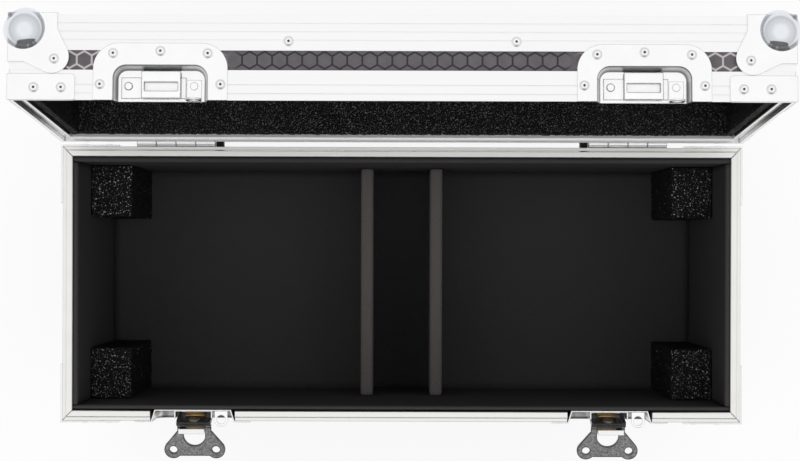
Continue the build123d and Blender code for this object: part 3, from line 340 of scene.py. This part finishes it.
def laminate(name, across_axis, up_axis, turn=(0, 0, 0), origin=(0, 0, 0), painted_dark_middle=False):
    """Dark laminate with foil hexagons in the plane of two axes; its foil can take a painted dark
    reflection in the middle.
    """
    finish, tree = new_finish(name)
    shader = main_shader(tree)
    where = place(tree, turn, (1 / hexagon_pitch,) * 3, tuple(-part for part in origin))
    axes = split(tree, where)
    edge = hexagon_edge(tree, axes[across_axis], axes[up_axis])
    line_start = 1 - hexagon_line / hexagon_pitch
    foil = remap(tree, edge, line_start - line_blur, line_start + line_blur)
    ground = ramp(tree, speckle(tree, where, 1.6, 4.0), ground_shades)
    shine = (*foil_grey, 1)
    # Painted dark reflection: near the middle the foil is painted dark, fading to the full foil grey
    # further out.
    if painted_dark_middle:
        from_middle = maths(tree, "ABSOLUTE", split(tree, place(tree))[across_axis])
        lit = remap(tree, from_middle, painted_dark_end, painted_dark_fade_end)
        shine = ramp(tree, lit, [(0.0, painted_dark_foil), (1.0, foil_grey)])
    feed(tree, shader,
         Base_Color=mixed(tree, foil, ground, shine),
         Metallic=maths(tree, "MULTIPLY", foil, 0.9),
         Roughness=remap(tree, foil, 0.0, 1.0, matt, glossy))
    wear(tree, shader, maths(tree, "ADD", foil, speckle(tree, where, 30.0)), 0.15, 0.0002)
    return finish


# %% Laminates of the base
strip_height = seam_height + 0.0342
strip_start = -0.1087
strip_origin = (strip_start + hexagon_pitch / 2, 0, strip_height)
front_laminate = laminate("laminate_front", 0, 2, origin=strip_origin)
side_laminate = laminate("laminate_side", 1, 2, origin=strip_origin)
flat_laminate = laminate("laminate_flat", 0, 1, origin=strip_origin)
print("laminates made; one hexagon is", hexagon_pitch * 1000, "mm wide")

# %% [markdown]
# ## Raw plywood
# Where the laminate ends, at the edges of the panels, the raw wood shows. So little of it shows
# that the layers needn't be drawn: a warm brown with a fine grain is enough.


# %% Plywood
def plywood():
    """Raw wood with a fine grain."""
    finish, tree = new_finish("raw_plywood")
    shader = main_shader(tree)
    grain = speckle(tree, place(tree), 300.0, 4.0)
    wood = ramp(tree, grain, [(0.3, (0.55, 0.30, 0.14)), (0.7, (0.78, 0.50, 0.27))])
    feed(tree, shader, Base_Color=wood, Roughness=0.75)
    wear(tree, shader, grain, 0.3, 0.0005)
    return finish


raw_plywood = plywood()
print("wood:", raw_plywood.name)

# %% [markdown]
# ## Foam finishes
# The foam of the walls is close-celled and smooth: charcoal, with a fine slanting weave. The
# corner blocks and the lid have coarse, open-celled foam; the few cell walls that catch the light
# are painted glints, painted brighter on faces that look up. A picture of foam could be wrapped
# round each board, but its seams would show, and patterns in three dimensions have none. A wave
# and noise make the weave. The distance to scattered points, times noise, makes the pits and the
# painted glints on the cell walls between them.


# %% Smooth foam
def smooth_foam(name, dark, light):
    """Close-celled foam with a fine slanting weave."""
    finish, tree = new_finish(name)
    shader = main_shader(tree)
    where = place(tree)
    weave = add_node(tree, "ShaderNodeTexWave", {"bands_direction": "DIAGONAL"},
                     Vector=where, Scale=260.0, Distortion=1.5, Detail=1.0)
    pores = speckle(tree, where, 1400.0, 2.0)
    half_weave = maths(tree, "MULTIPLY", weave.outputs["Fac"], 0.5)
    surface = maths(tree, "ADD", half_weave, maths(tree, "MULTIPLY", pores, 0.5))
    shade = ramp(tree, surface, [(0.25, dark), (0.75, light)])
    feed(tree, shader, Base_Color=shade, Roughness=0.85, Specular_IOR_Level=0.25)
    wear(tree, shader, surface, 0.4, 0.0004)
    return finish


charcoal, warm_charcoal = (1.07, 1, 1.02), (1.12, 1, 1.0)
charcoal_foam = smooth_foam("charcoal_foam", grey(0.020, charcoal), grey(0.052, charcoal))
# The dividers take a lighter copy of the charcoal foam: painted light for their tops, which stand
# nearer the light.
lit_divider_foam = smooth_foam("lit_divider_foam", grey(0.042, warm_charcoal), grey(0.108, warm_charcoal))
print("smooth foams:", charcoal_foam.name, lit_divider_foam.name)

# %% Coarse foam
cell_scale, wall_scale = 820.0, 1100.0
wall_grey, painted_glint_tint = 0.03, (1.04, 1, 0.97)
cell_relief = 0.0016


def rough_foam(name, ground, painted_glint, levels):
    """Open-celled foam: dark pits, and painted glints on the cell walls above the last level,
    painted brighter on faces that look up.
    """
    finish, tree = new_finish(name)
    shader = main_shader(tree)
    where = place(tree)
    cells = add_node(tree, "ShaderNodeTexVoronoi", Vector=where, Scale=cell_scale)
    cells = cells.outputs["Distance"]
    walls = speckle(tree, where, wall_scale, 2.0, 0.7)
    # Painted light: faces that look up take brighter glints than the sides.
    facing_up = split(tree, add_node(tree, "ShaderNodeNewGeometry").outputs["Normal"])[2]
    painted_top_light = add_node(tree, "ShaderNodeMath", {"operation": "MULTIPLY_ADD"},
                        i0=facing_up, i1=0.20, i2=0.80).outputs[0]
    bright = maths(tree, "MULTIPLY", maths(tree, "MULTIPLY", cells, walls), painted_top_light)
    shades = (grey(ground), grey(wall_grey), grey(painted_glint, painted_glint_tint))
    shade = ramp(tree, bright, list(zip(levels, shades)))
    feed(tree, shader, Base_Color=shade, Roughness=0.6, Specular_IOR_Level=0.2)
    wear(tree, shader, maths(tree, "ADD", cells, walls), 1.0, cell_relief)
    return finish


black_foam = rough_foam("black_foam", 0.009, 0.95, (0.345, 0.425, 0.475))
lid_foam = rough_foam("lid_foam", 0.003, 0.18, (0.27, 0.36, 0.43))
print("coarse foams:", black_foam.name, lid_foam.name)

# %% [markdown]
# ## Paint, nylon and rubber
# The latch arms are painted black, the stop blocks at the hinges are nylon, and the handles have
# rubber grips. All three are plain dark surfaces that differ in gloss, so one recipe with a fine
# grain serves them. A flat colour could do too, but it looks like a hole in the picture.


# %% Plain coats
def plain_coat(name, colour, roughness, grain_scale=700.0, strength=0.15):
    """Paint, nylon or rubber with a fine grain."""
    finish, tree = new_finish(name)
    shader = main_shader(tree)
    grain = speckle(tree, place(tree), grain_scale)
    feed(tree, shader, Base_Color=drifting(tree, grain, colour, 0.2), Roughness=roughness)
    wear(tree, shader, grain, strength, 0.0003, 0.0003)
    return finish


black_paint = plain_coat("black_coat", grey(0.022), 0.32)
nylon = plain_coat("black_nylon", grey(0.008), 0.7)
feed(nylon.node_tree, main_shader(nylon.node_tree), Specular_IOR_Level=0.1)
rubber = plain_coat("grip_rubber", grey(0.025), 0.6, 400.0, 0.4)
print("finishes so far:", len(bpy.data.materials))

# %% [markdown]
# ## Finishes on the CAD pieces
# A piece whose shape is right keeps its CAD mesh and only takes a finish. It could be traced anew
# in Blender, but then it would no longer be the part that was checked. Most pieces have one finish
# all over, so a table of finishes and pieces says it all.


# %% Dress the pieces with one finish
def dress(node_name, *finishes):
    """Give a CAD piece its finishes, the first one on every face."""
    mesh = nodes[node_name].data
    mesh.materials.clear()
    for finish in finishes:
        mesh.materials.append(finish)
    mesh.polygons.foreach_set("material_index", [0] * len(mesh.polygons))


pieces_of = {
    base_aluminium: ["base_bottom_edging", "base_corner_edging", "base_closing_frame"],
    lid_aluminium: ["lid_top_edging", "lid_corner_edging"],
    plated_steel: ["base_corner_braces", "lid_corner_braces", "base_latch_dishes",
                   "lid_latch_dishes", "latch_brackets", "base_padlock_eyes", "lid_padlock_eyes",
                   "left_handle_dish", "right_handle_dish", "left_handle_ears",
                   "right_handle_ears", "left_handle_bail", "right_handle_bail"],
    bright_zinc: ["left_latch_hook", "right_latch_hook"],
    hinge_steel: ["base_hinge_leaves", "lid_hinge_leaves", "keepers"],
    pin_metal: ["latch_pivot_pins", "hinge_pins", "left_wing_pin", "right_wing_pin",
                "left_latch_spindle", "right_latch_spindle"],
    leaf_steel: ["left_latch_spring", "right_latch_spring"],
    black_paint: ["left_latch_arm", "right_latch_arm"],
    cast_zinc: ["left_latch_wing", "right_latch_wing"],
    nylon: ["lid_stop_blocks"],
    rubber: ["left_handle_grip", "right_handle_grip"],
}
for finish, names in pieces_of.items():
    for name in names:
        dress(name, finish)
print("dressed:", sum(len(names) for names in pieces_of.values()))

# %% [markdown]
# ## The turn of the lid
# The lid stands open, leaning a little back from upright. Its laminate and its foam were cut for
# the closed lid, so it is easiest to lay them out there and to turn them open about the hinge. The
# same turn also tells which way the front and the top of the open lid look.

# %% The closed and the open lid
lid_angle = 94.5
hinge = Vector((0, 0.1365, seam_height))
lid_swing = Matrix.Rotation(radians(lid_angle), 4, "X")
closing_turn = Matrix.Translation(hinge) @ lid_swing @ Matrix.Translation(-hinge)
opening_turn = closing_turn.inverted()
open_pose = opening_turn.to_3x3()
lid_front_way = open_pose @ Vector((0, -1, 0))
print("the lid's front looks", tuple(round(v, 3) for v in lid_front_way))

# %% [markdown]
# ## Panels
# A panel is laminate outside and raw wood at its edges and inside. Two pieces could be made of it,
# but one mesh with two finishes keeps it whole: faces that look along the panel's own direction
# take the laminate, and all others the wood. On the lid's front the foil has a painted dark
# reflection in the middle.


# %% Laminates of the lid
def lid_laminate(name, across_axis, up_axis, painted_dark_middle=False):
    """Laminate for a panel of the open lid, laid out as on the closed one."""
    start = closing_turn.to_translation() - Vector(strip_origin)
    moved = closing_turn.to_3x3().inverted() @ start
    turn = (radians(lid_angle), 0, 0)
    return laminate(name, across_axis, up_axis, turn, tuple(-moved), painted_dark_middle)


lid_front_laminate = lid_laminate("lid_laminate_front", 0, 2, True)
lid_back_laminate = lid_laminate("lid_laminate_back", 0, 2)
lid_side_laminate = lid_laminate("lid_laminate_side", 1, 2)
lid_flat_laminate = lid_laminate("lid_laminate_flat", 0, 1)
print("lid laminates turned by", lid_angle, "degrees")


# %% Dress the panels
def second_finish(name, chosen):
    """Give the second finish to the faces that a test chooses, and count them."""
    faces = nodes[name].data.polygons
    for face in faces:
        face.material_index = 1 if chosen(face) else 0
    return sum(face.material_index for face in faces)


panels = {
    "base_front_panel": (front_laminate, Vector((0, -1, 0))),
    "base_back_panel": (front_laminate, Vector((0, 1, 0))),
    "base_left_panel": (side_laminate, Vector((-1, 0, 0))),
    "base_right_panel": (side_laminate, Vector((1, 0, 0))),
    "base_floor_panel": (flat_laminate, Vector((0, 0, -1))),
    "lid_front_panel": (lid_front_laminate, lid_front_way),
    "lid_back_panel": (lid_back_laminate, open_pose @ Vector((0, 1, 0))),
    "lid_left_panel": (lid_side_laminate, Vector((-1, 0, 0))),
    "lid_right_panel": (lid_side_laminate, Vector((1, 0, 0))),
    "lid_top_panel": (lid_flat_laminate, open_pose @ Vector((0, 0, 1))),
}
for name, (finish, outward) in panels.items():
    dress(name, finish, raw_plywood)
    second_finish(name, lambda face: abs(face.normal.dot(outward)) <= 0.9)
print("panels dressed:", len(panels))

# %% [markdown]
# ## Closing profile of the lid
# The profile round the lid's opening has a pale, satin front and bright inner faces, where the die
# has drawn its grooves, with painted dark lines at their corners as a painted reflection of the dark
# in the grooves. One finish for both would be too pale inside or too streaky in front, so the faces
# are told apart by the way they look.

# %% Dress the closing profile of the lid
dress("lid_closing_frame", lid_aluminium, closing_aluminium)
inner_faces = second_finish("lid_closing_frame", lambda face: face.normal.dot(lid_front_way) <= 0.5)
print("inner faces of the profile:", inner_faces)

# %% [markdown]
# ## Pressed pockets
# The latches sit in pressed steel dishes. The steep wall of a dish mirrors its own lip and floor,
# so it shows a dark crease at the lip, a lighter middle and a dark foot. Tracing many reflections
# in so narrow a pocket would be slow and noisy, so a ramp of greys along the depth paints these
# reflections into the colour of the wall.

# %% The wall of a pressed pocket
pocket_depth = 0.0105
painted_wall_greys = [(0.0, 0.16), (0.12, 0.22), (0.28, 0.72), (0.60, 0.52), (0.80, 0.18), (1.0, 0.30)]


def pressed_wall(name, outward, level):
    """Painted reflections for the steep wall of a pressed pocket whose lip lies at a level."""
    finish, tree = new_finish(name)
    along = dot(tree, place(tree), tuple(outward))
    depth = remap(tree, along, level, level - pocket_depth)
    # Painted reflection: dark at the lip, lighter in the middle, dark again at the foot.
    shade = ramp(tree, depth, [(position, grey(value)) for position, value in painted_wall_greys])
    feed(tree, main_shader(tree), Base_Color=shade, Metallic=1.0, Roughness=0.30)
    return finish


# %% Dress the latch dishes
for name, outward in (("base_latch_dishes", Vector((0, -1, 0))),
                      ("lid_latch_dishes", lid_front_way)):
    level = max(vert.co.dot(outward) for vert in nodes[name].data.vertices)
    dress(name, plated_steel, pressed_wall(name + "_wall", outward, level))
    walls = second_finish(name, lambda face: 0.15 < abs(face.normal.dot(outward)) < 0.9)
    print(name, "wall faces:", walls)

# %% [markdown]
# ## Ball corners
# A ball corner is a polished steel ball on plates that wrap round the corner of the case. In the
# CAD model each ball stands on a short flared neck, so that its plates stay one sheet with it, and
# the neck would show as a dull collar. The mesh could be changed, but it belongs to the checked
# part. So the finish works out which way a full ball would look at each point, and shades that.
# All four corners mirror each other, so one sum on the sizes of the coordinates serves them all.

# %% A finish that shades a full ball
ball_radius = 0.0192
ball_reach = 0.0235
ball_colour = (0.80, 0.825, 0.865, 1)
tie, rim_rise = 1e-6, 0.0004


def ball_offset(tree, closed, seat, upward):
    """How far a point is out from the centre of its ball, with all corners laid on one."""
    corner = vector_maths(tree, "SUBTRACT", vector_maths(tree, "ABSOLUTE", closed), tuple(seat))
    return vector_maths(tree, "MULTIPLY", corner, (1, 1, upward))


def plate_way(tree, outward):
    """The axis of the plate that a point of the ball belongs to: the one it is furthest along."""
    parts = split(tree, outward)
    most = maths(tree, "MAXIMUM", maths(tree, "MAXIMUM", parts[0], parts[1]), parts[2])
    most = maths(tree, "SUBTRACT", most, tie)
    x, y, z = [maths(tree, "GREATER_THAN", part, most) for part in parts]
    return add_node(tree, "ShaderNodeCombineXYZ", i0=x, i1=y, i2=z).outputs[0]


def ball_way(tree, outward):
    """The way a full ball looks at a point: sideways by its place on the plate, the rest up."""
    plate = plate_way(tree, outward)
    in_plane = vector_maths(tree, "SUBTRACT", (1, 1, 1), plate)
    in_radii = vector_maths(tree, "DIVIDE", outward, (ball_radius,) * 3)
    away = vector_maths(tree, "MULTIPLY", in_plane, in_radii)
    left_over = maths(tree, "SUBTRACT", 1.0, dot(tree, away, away))
    rise = maths(tree, "SQRT", maths(tree, "MAXIMUM", left_over, rim_rise))
    lift = add_node(tree, "ShaderNodeVectorMath", {"operation": "SCALE"}, i0=plate, Scale=rise)
    return vector_maths(tree, "ADD", away, lift.outputs[0])


def bright_ball(name, seat, turn, upward):
    """Polished steel that takes the light as one full ball, its short neck included."""
    finish, tree = new_finish(name)
    back = turn.inverted()
    closed = add_node(tree, "ShaderNodeMapping", Vector=place(tree),
                      Rotation=tuple(back.to_euler()), Location=tuple(back.to_translation()))
    closed = closed.outputs[0]
    facing = ball_way(tree, ball_offset(tree, closed, seat, upward))
    facing = vector_maths(tree, "MULTIPLY", facing, (1, 1, upward))
    facing = vector_maths(tree, "MULTIPLY", facing, vector_maths(tree, "SIGN", closed))
    opened = add_node(tree, "ShaderNodeVectorRotate", {"rotation_type": "EULER_XYZ"},
                      Vector=facing, Rotation=tuple(turn.to_euler()))
    to_world = {"vector_type": "NORMAL", "convert_from": "OBJECT", "convert_to": "WORLD"}
    in_world = add_node(tree, "ShaderNodeVectorTransform", to_world, Vector=opened.outputs[0])
    feed(tree, main_shader(tree), Base_Color=ball_colour, Metallic=0.92, Roughness=0.10,
         Normal=in_world.outputs[0])
    return finish


# %% Dress the ball corners
three_axes = [Vector((1, 0, 0)), Vector((0, 1, 0)), Vector((0, 0, 1))]
for name, seat, turn, upward in (
    ("base_ball_corners", Vector((0.316, 0.121, 0.0182)), Matrix.Identity(4), -1),
    ("lid_ball_corners", Vector((0.316, 0.121, 0.3192)), opening_turn, 1),
):
    dress(name, plated_steel, bright_ball(name + "_ball", seat, turn, upward))
    balls = [turn @ Vector((x * seat.x, y * seat.y, seat.z)) for x in (-1, 1) for y in (-1, 1)]
    axes = [turn.to_3x3() @ axis for axis in three_axes]

    def on_ball(face):
        """Whether a face is near a ball and not part of the flat plates round it."""
        near = min((Vector(face.center) - ball).length for ball in balls) < ball_reach
        flat = max(abs(face.normal.dot(axis)) for axis in axes) > 0.9995
        return near and not flat

    print(name, "ball faces:", second_finish(name, on_ball))

# %% [markdown]
# ## Rivets
# A blind rivet is hollow: its pin breaks off below the head, and the hollow in the middle takes a
# painted shade.
# All rivets of a body share one mesh. It could be cut up into single rivets, but it's simpler to
# find each shell in it, and the line on which it stands. The faces close to that line are the bore.


# %% Find the single rivets
def loose_parts(mesh):
    """The separate shells of a mesh, each as the corner points of its faces."""
    shape = bmesh.new()
    shape.from_mesh(mesh)
    bmesh.ops.remove_doubles(shape, verts=shape.verts, dist=1e-6)
    shape.faces.ensure_lookup_table()
    parts = []
    seen = set()
    for start in shape.faces:
        if start.index in seen:
            continue
        seen.add(start.index)
        points = []
        queue = [start]
        while queue:
            face = queue.pop()
            points += [vert.co.copy() for vert in face.verts]
            for other in (other for edge in face.edges for other in edge.link_faces):
                if other.index not in seen:
                    seen.add(other.index)
                    queue.append(other)
        parts.append(points)
    shape.free()
    return parts


def flattened(point, axis):
    """A point without its share along an axis."""
    return point - axis * point.dot(axis)


def rivet_line(points, axes):
    """The middle of a rivet, the axis it stands along, and the flattened centre of its head."""
    middle = sum(points, Vector()) / len(points)
    spans = [max(flattened(point - middle, axis).length for point in points) for axis in axes]
    axis = axes[spans.index(min(spans))]
    flat = [flattened(point, axis) for point in points]
    low = Vector([min(point[k] for point in flat) for k in range(3)])
    high = Vector([max(point[k] for point in flat) for k in range(3)])
    return middle, axis, (low + high) / 2


# %% Dress the rivets
bore_radius = 0.0013
for name, axes in (("base_rivets", three_axes),
                   ("lid_rivets", [open_pose @ axis for axis in three_axes])):
    mesh = nodes[name].data
    dress(name, rivet_metal, painted_bore_shade)
    rivets = [rivet_line(points, axes) for points in loose_parts(mesh)]
    middles = np.array([list(middle) for middle, _, _ in rivets])

    def in_bore(face):
        """Whether all corners of a face lie within the bore of its rivet."""
        nearest = int(np.argmin(((middles - np.array(face.center)) ** 2).sum(1)))
        _, axis, centre = rivets[nearest]
        corners = [mesh.vertices[index].co for index in face.vertices]
        return max((flattened(corner, axis) - centre).length for corner in corners) < bore_radius

    print(name, "shells:", len(rivets), "bore faces:", second_finish(name, in_bore))

# %% [markdown]
# ## Leaf springs
# A leaf spring is fixed at its foot in the dish, and its tip leans on the latch arm. It could ride
# on either body, but then it would cut through the other one when the arm swings. So each one is
# a copy of its CAD piece, which takes the place of the piece and rides on neither body.

# %% Copy the leaf springs
for side in ("left", "right"):
    name = f"{side}_latch_spring"
    low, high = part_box(name)
    spring = bpy.data.objects.new(f"{side}_leaf_spring", nodes[name].data.copy())
    bpy.context.scene.collection.objects.link(spring)
    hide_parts(name)
    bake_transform(spring)
    print(spring.name, "points:", len(spring.data.vertices))

# %% [markdown]
# ## Foam boards
# The foam in the case is cut from sheets, so each piece is a board. A CAD box has razor edges,
# and real foam has soft ones. A bevel would round the edges, but it leaves large flat faces that
# can't be roughened. So each board is a fine grid of small squares whose outer points are drawn
# onto a rounded box. Coarse foam is then roughened: noise pulls each point inwards by up to a
# millimetre or two. The boards replace the plain CAD solids, which stay in the physics model.


# %% A box of small squares
def square_grid(low, high, cell):
    """A box whose faces are grids of small squares, between two corners, in metres."""
    counts = [max(2, round((high[k] - low[k]) / cell)) for k in range(3)]
    shape = bmesh.new()
    made = {}

    def point(*key):
        if key not in made:
            share = [key[n] / counts[n] for n in range(3)]
            made[key] = shape.verts.new([low[n] + (high[n] - low[n]) * share[n] for n in range(3)])
        return made[key]

    for axis in range(3):
        a, b = [n for n in range(3) if n != axis]
        squares = [(i, j) for i in range(counts[a]) for j in range(counts[b])]
        for end in (0, counts[axis]):
            for i, j in squares:
                ring = []
                for di, dj in ((0, 0), (1, 0), (1, 1), (0, 1)):
                    key = [0, 0, 0]
                    key[axis], key[a], key[b] = end, i + di, j + dj
                    ring.append(point(*key))
                shape.faces.new(ring)
    bmesh.ops.recalc_face_normals(shape, faces=shape.faces)
    return shape


# %% A rounded and roughened board
foam_grain = 330.0


def board(low, high, cell, corner, rough=0.0, seed=0.0):
    """A board of small squares with rounded corners, roughened by up to about a size in metres."""
    low, high = Vector(low), Vector(high)
    shape = square_grid(low, high, cell)
    inner_low = low + Vector((corner,) * 3)
    inner_high = high - Vector((corner,) * 3)
    for vert in shape.verts:
        core = Vector([min(max(vert.co[k], inner_low[k]), inner_high[k]) for k in range(3)])
        away = vert.co - core
        if away.length > 1e-9:
            vert.co = core + away.normalized() * corner
        if rough:
            large = noise.noise(vert.co * foam_grain + Vector((seed, 0, 0)))
            push = large + 0.6 * noise.noise(vert.co * foam_grain * 2.7)
            vert.co -= away.normalized() * rough * max(0.0, 0.5 + push)
    return shape


# %% A piece of foam from its boards
def foam_piece(name, shapes, finish, body, replaced, turn=None):
    """Join boards into one piece that replaces a CAD node."""
    mesh = bpy.data.meshes.new(name)
    joined = bmesh.new()
    for shape in shapes:
        part = bpy.data.meshes.new(name + "_part")
        shape.to_mesh(part)
        shape.free()
        joined.from_mesh(part)
        bpy.data.meshes.remove(part)
    if turn:
        bmesh.ops.transform(joined, matrix=turn, verts=joined.verts)
    joined.to_mesh(mesh)
    joined.free()
    mesh.materials.append(finish)
    mesh.polygons.foreach_set("use_smooth", [True] * len(mesh.polygons))
    piece = bpy.data.objects.new(name, mesh)
    bpy.context.scene.collection.objects.link(piece)
    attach(piece, body)
    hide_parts(replaced)
    print(name, "faces:", len(mesh.polygons))


# %% [markdown]
# ## Liners
# Thin foam boards line the walls of the base and of the lid: two long ones, and two short ones
# that stand between them. The boards in front are a little thinner, because the latch dishes come
# through behind them. A liner could be one hollow frame, but in the real case the boards are
# glued in one by one, and the fine gaps between them show.

# %% Wall boards
rim_x, rim_y, front_y = 0.3172, 0.1222, 0.1213
close_gap, loose_gap = 0.0002, 0.0003


def span(side, near, far):
    """The low and the high end of a piece on one side of the middle."""
    return sorted((side * near, side * far))


def wall_pair(side, inner_x, inner_y, low, high, gap, *make):
    """The long board of one side, and the short one that stands between the long ones."""
    ys = span(side, inner_y, rim_y if side > 0 else front_y)
    long_board = board((-rim_x, ys[0], low), (rim_x, ys[1], high), *make)
    xs = span(side, inner_x, rim_x)
    ends = (xs[0], gap - inner_y, low), (xs[1], inner_y - gap, high)
    return long_board, board(*ends, *make)


def pushed_back(shape, axis, side, limit, ranges):
    """Move the hidden back of a board clear of a dish behind it."""
    for vert in shape.verts:
        inside = all(low < vert.co[k] < high for k, (low, high) in ranges.items())
        if inside and side * vert.co[axis] > limit:
            vert.co[axis] = side * limit
    return shape


# %% Foam liners of the base
liner_x, liner_y = 0.3125, 0.1175
floor_top, liner_floor, liner_top = 0.0152, 0.0202, 0.2607
handle_limit, handle_ranges = 0.3147, {1: (-0.066, 0.066), 2: (0.092, 0.182)}
walls = []
for side in (-1, 1):
    long_board, short_board = wall_pair(
        side, liner_x, liner_y, floor_top, liner_top, close_gap, 0.006, 0.0012)
    walls += [long_board, pushed_back(short_board, 0, side, handle_limit, handle_ranges)]
foam_piece("base_wall_foam", walls, charcoal_foam, "base", "base_wall_liners")
floor_x, floor_y = liner_x - close_gap, liner_y - close_gap
floor = board((-floor_x, -floor_y, floor_top), (floor_x, floor_y, liner_floor), 0.008, 0.001)
foam_piece("base_floor_foam", [floor], charcoal_foam, "base", "base_floor_liner")

# %% [markdown]
# ## Dividers and corner blocks
# Two upright boards make the narrow compartment in the middle, and a block of coarse foam stands
# in each corner to hold the load away from the walls. Each block has its own seed for the noise:
# with one and the same they would look like copies.

# %% Foam of the compartments
divider_inner, divider_outer, divider_top, block_top = 0.02925, 0.04195, 0.1292, 0.1822
for name, side in (("left", -1), ("right", 1)):
    xs = span(side, divider_inner, divider_outer)
    low, high = (xs[0], -liner_y + loose_gap, liner_floor), (xs[1], liner_y - loose_gap, divider_top)
    shape = board(low, high, 0.003, 0.0018)
    foam_piece(f"{name}_lit_divider_foam", [shape], lit_divider_foam, "base", f"{name}_divider")
block_x, block_y = 0.2705, 0.0655
blocks = []
for x_side in (-1, 1):
    for y_side in (-1, 1):
        xs = span(x_side, block_x, liner_x - loose_gap)
        ys = span(y_side, block_y, liner_y - loose_gap)
        ends = (xs[0], ys[0], liner_floor), (xs[1], ys[1], block_top)
        blocks.append(board(*ends, 0.0016, 0.0014, 0.0016, x_side + 3 * y_side))
foam_piece("corner_foam", blocks, black_foam, "base", "corner_foam_blocks")

# %% [markdown]
# ## Foam of the lid
# The lid has coarse foam all round, and a pad that presses on the load when it is shut. The boards
# are laid out as in the closed lid, where their heights are plain numbers, and are then turned
# open with it.

# %% Foam boards of the lid
lid_liner_x, lid_liner_y = 0.3090, 0.1140
lid_low, lid_liner_top, lid_inner_top = 0.2640, 0.3102, 0.3222
pad_x, pad_y = 0.3187, 0.1237
lid_walls = []
for side in (-1, 1):
    lid_walls += wall_pair(side, lid_liner_x, lid_liner_y, lid_low, lid_liner_top, loose_gap,
                           0.0022, 0.0012, 0.0012)
foam_piece("lid_wall_foam", lid_walls, lid_foam, "lid", "lid_wall_liners", opening_turn)
pad_low, pad_high = lid_liner_top + close_gap, lid_inner_top - close_gap
pad = board((-pad_x, -pad_y, pad_low), (pad_x, pad_y, pad_high), 0.003, 0.0015, 0.0012)
foam_piece("lid_top_foam", [pad], lid_foam, "lid", "lid_top_liner", opening_turn)

# %% [markdown]
# ## Floor
# The photograph has a white ground with hardly a shadow. A plain white floor would turn grey away
# from the lamps. A glowing floor stays white, but it would take no shadow and would light the case
# from below. So this floor glows only for the camera and for mirrors, and part of it is paper.

# %% White floor
glow_share = 0.82
floor_reach = 30.0


def white_floor():
    """A floor that shows white and keeps a soft shadow."""
    finish, tree = new_finish("studio_floor")
    paths = add_node(tree, "ShaderNodeLightPath").outputs
    seen = maths(tree, "ADD", paths["Is Camera Ray"], paths["Is Glossy Ray"], True)
    seen = maths(tree, "ADD", seen, paths["Is Transmission Ray"], True)
    share = maths(tree, "MULTIPLY", seen, glow_share)
    paper = add_node(tree, "ShaderNodeBsdfDiffuse", Color=(0.9, 0.9, 0.9, 1)).outputs[0]
    glow = add_node(tree, "ShaderNodeEmission", Color=(1, 1, 1, 1), Strength=1.0).outputs[0]
    surface = add_node(tree, "ShaderNodeMixShader", i0=share, i1=paper, i2=glow).outputs[0]
    feed(tree, tree.nodes["Material Output"], Surface=surface)
    tree.nodes.remove(main_shader(tree))
    return finish


signs = ((-1, -1), (1, -1), (1, 1), (-1, 1))
floor_corners = [(x * floor_reach, y * floor_reach, 0) for x, y in signs]
floor_mesh = bpy.data.meshes.new("studio_floor")
floor_mesh.from_pydata(floor_corners, [], [(0, 1, 2, 3)])
floor_mesh.materials.append(white_floor())
studio_floor = bpy.data.objects.new("studio_floor", floor_mesh)
bpy.context.scene.collection.objects.link(studio_floor)
print("floor reaches", floor_reach, "m each way")

# %% [markdown]
# ## Dark card
# Bright metal shows the room it stands in, and in an all-white room it has no shape. A studio
# hangs a dark card where only the reflections find it, and so does this scene: an ellipse in front
# of the case, hidden from the camera and from the light. The room itself could be made darker
# there, but a card can be moved and sized by eye.

# %% Card in front
card_points = 48


def dark_card(name, centre, half_width, half_height):
    """A dark upright ellipse that only mirrors show."""
    finish, tree = new_finish(name)
    feed(tree, main_shader(tree), Base_Color=(*grey(0.08), 1), Roughness=1.0)
    mesh = bpy.data.meshes.new(name)
    x, y, z = centre
    angles = [2 * pi * k / card_points for k in range(card_points)]
    ring = [(x + half_width * cos(a), y, z + half_height * sin(a)) for a in angles]
    mesh.from_pydata(ring, [], [tuple(range(card_points))])
    mesh.materials.append(finish)
    card = bpy.data.objects.new(name, mesh)
    card.visible_camera = False
    card.visible_diffuse = False
    card.visible_shadow = False
    card.visible_transmission = False
    bpy.context.scene.collection.objects.link(card)
    print(name, "at", centre)


dark_card("card_in_front", (0, -1.9, 1.19), 1.95, 1.16)

# %% [markdown]
# ## Sky
# The photograph is lit from all round, so the world itself is the main lamp. One white all over
# would leave the metal edges nothing to mirror. So the sky is white straight above, gets greyer
# on the way down, and is a little lighter again at the horizon.

# %% Bands of the sky
sky_greys = [(0.0, 0.82), (0.10, 0.66), (0.22, 0.66), (0.45, 0.76), (0.65, 0.80), (0.86, 1.0)]
world = bpy.data.worlds.new("studio_sky")
bpy.context.scene.world = world
world.use_nodes = True
sky = world.node_tree
height = split(sky, add_node(sky, "ShaderNodeTexCoord").outputs["Generated"])[2]
bands = ramp(sky, height, [(position, grey(value)) for position, value in sky_greys])
feed(sky, sky.nodes["Background"], Color=bands, Strength=1.0)
print("sky bands:", len(sky_greys))

# %% [markdown]
# ## Softboxes
# Sky light alone comes from everywhere and leaves no direction. Three weak softboxes, at the left,
# at the right and in front, give the foam and the fittings a lit and a shaded side. They don't
# show in mirrors, where they would burn white squares into the steel.

# %% Lamps
lamp_height, lamp_power = 2.2, 7.0
lamp_size = (1.0, 1.6)
aim = Vector((0, 0, 0.2))
lamp_places = {"left_softbox": (-1.5, 0.2), "right_softbox": (1.5, 0.2), "front_softbox": (0, -1.6)}
for name, (x, y) in lamp_places.items():
    lamp_data = bpy.data.lights.new(name, "AREA")
    lamp_data.shape = "RECTANGLE"
    lamp_data.size, lamp_data.size_y = lamp_size
    lamp_data.energy = lamp_power
    lamp = bpy.data.objects.new(name, lamp_data)
    lamp.location = (x, y, lamp_height)
    lamp.rotation_euler = (aim - lamp.location).to_track_quat("-Z", "Y").to_euler()
    lamp.visible_glossy = False
    bpy.context.scene.collection.objects.link(lamp)
bpy.context.scene.view_settings.view_transform = "Standard"
print("lamps:", len(bpy.data.lights))
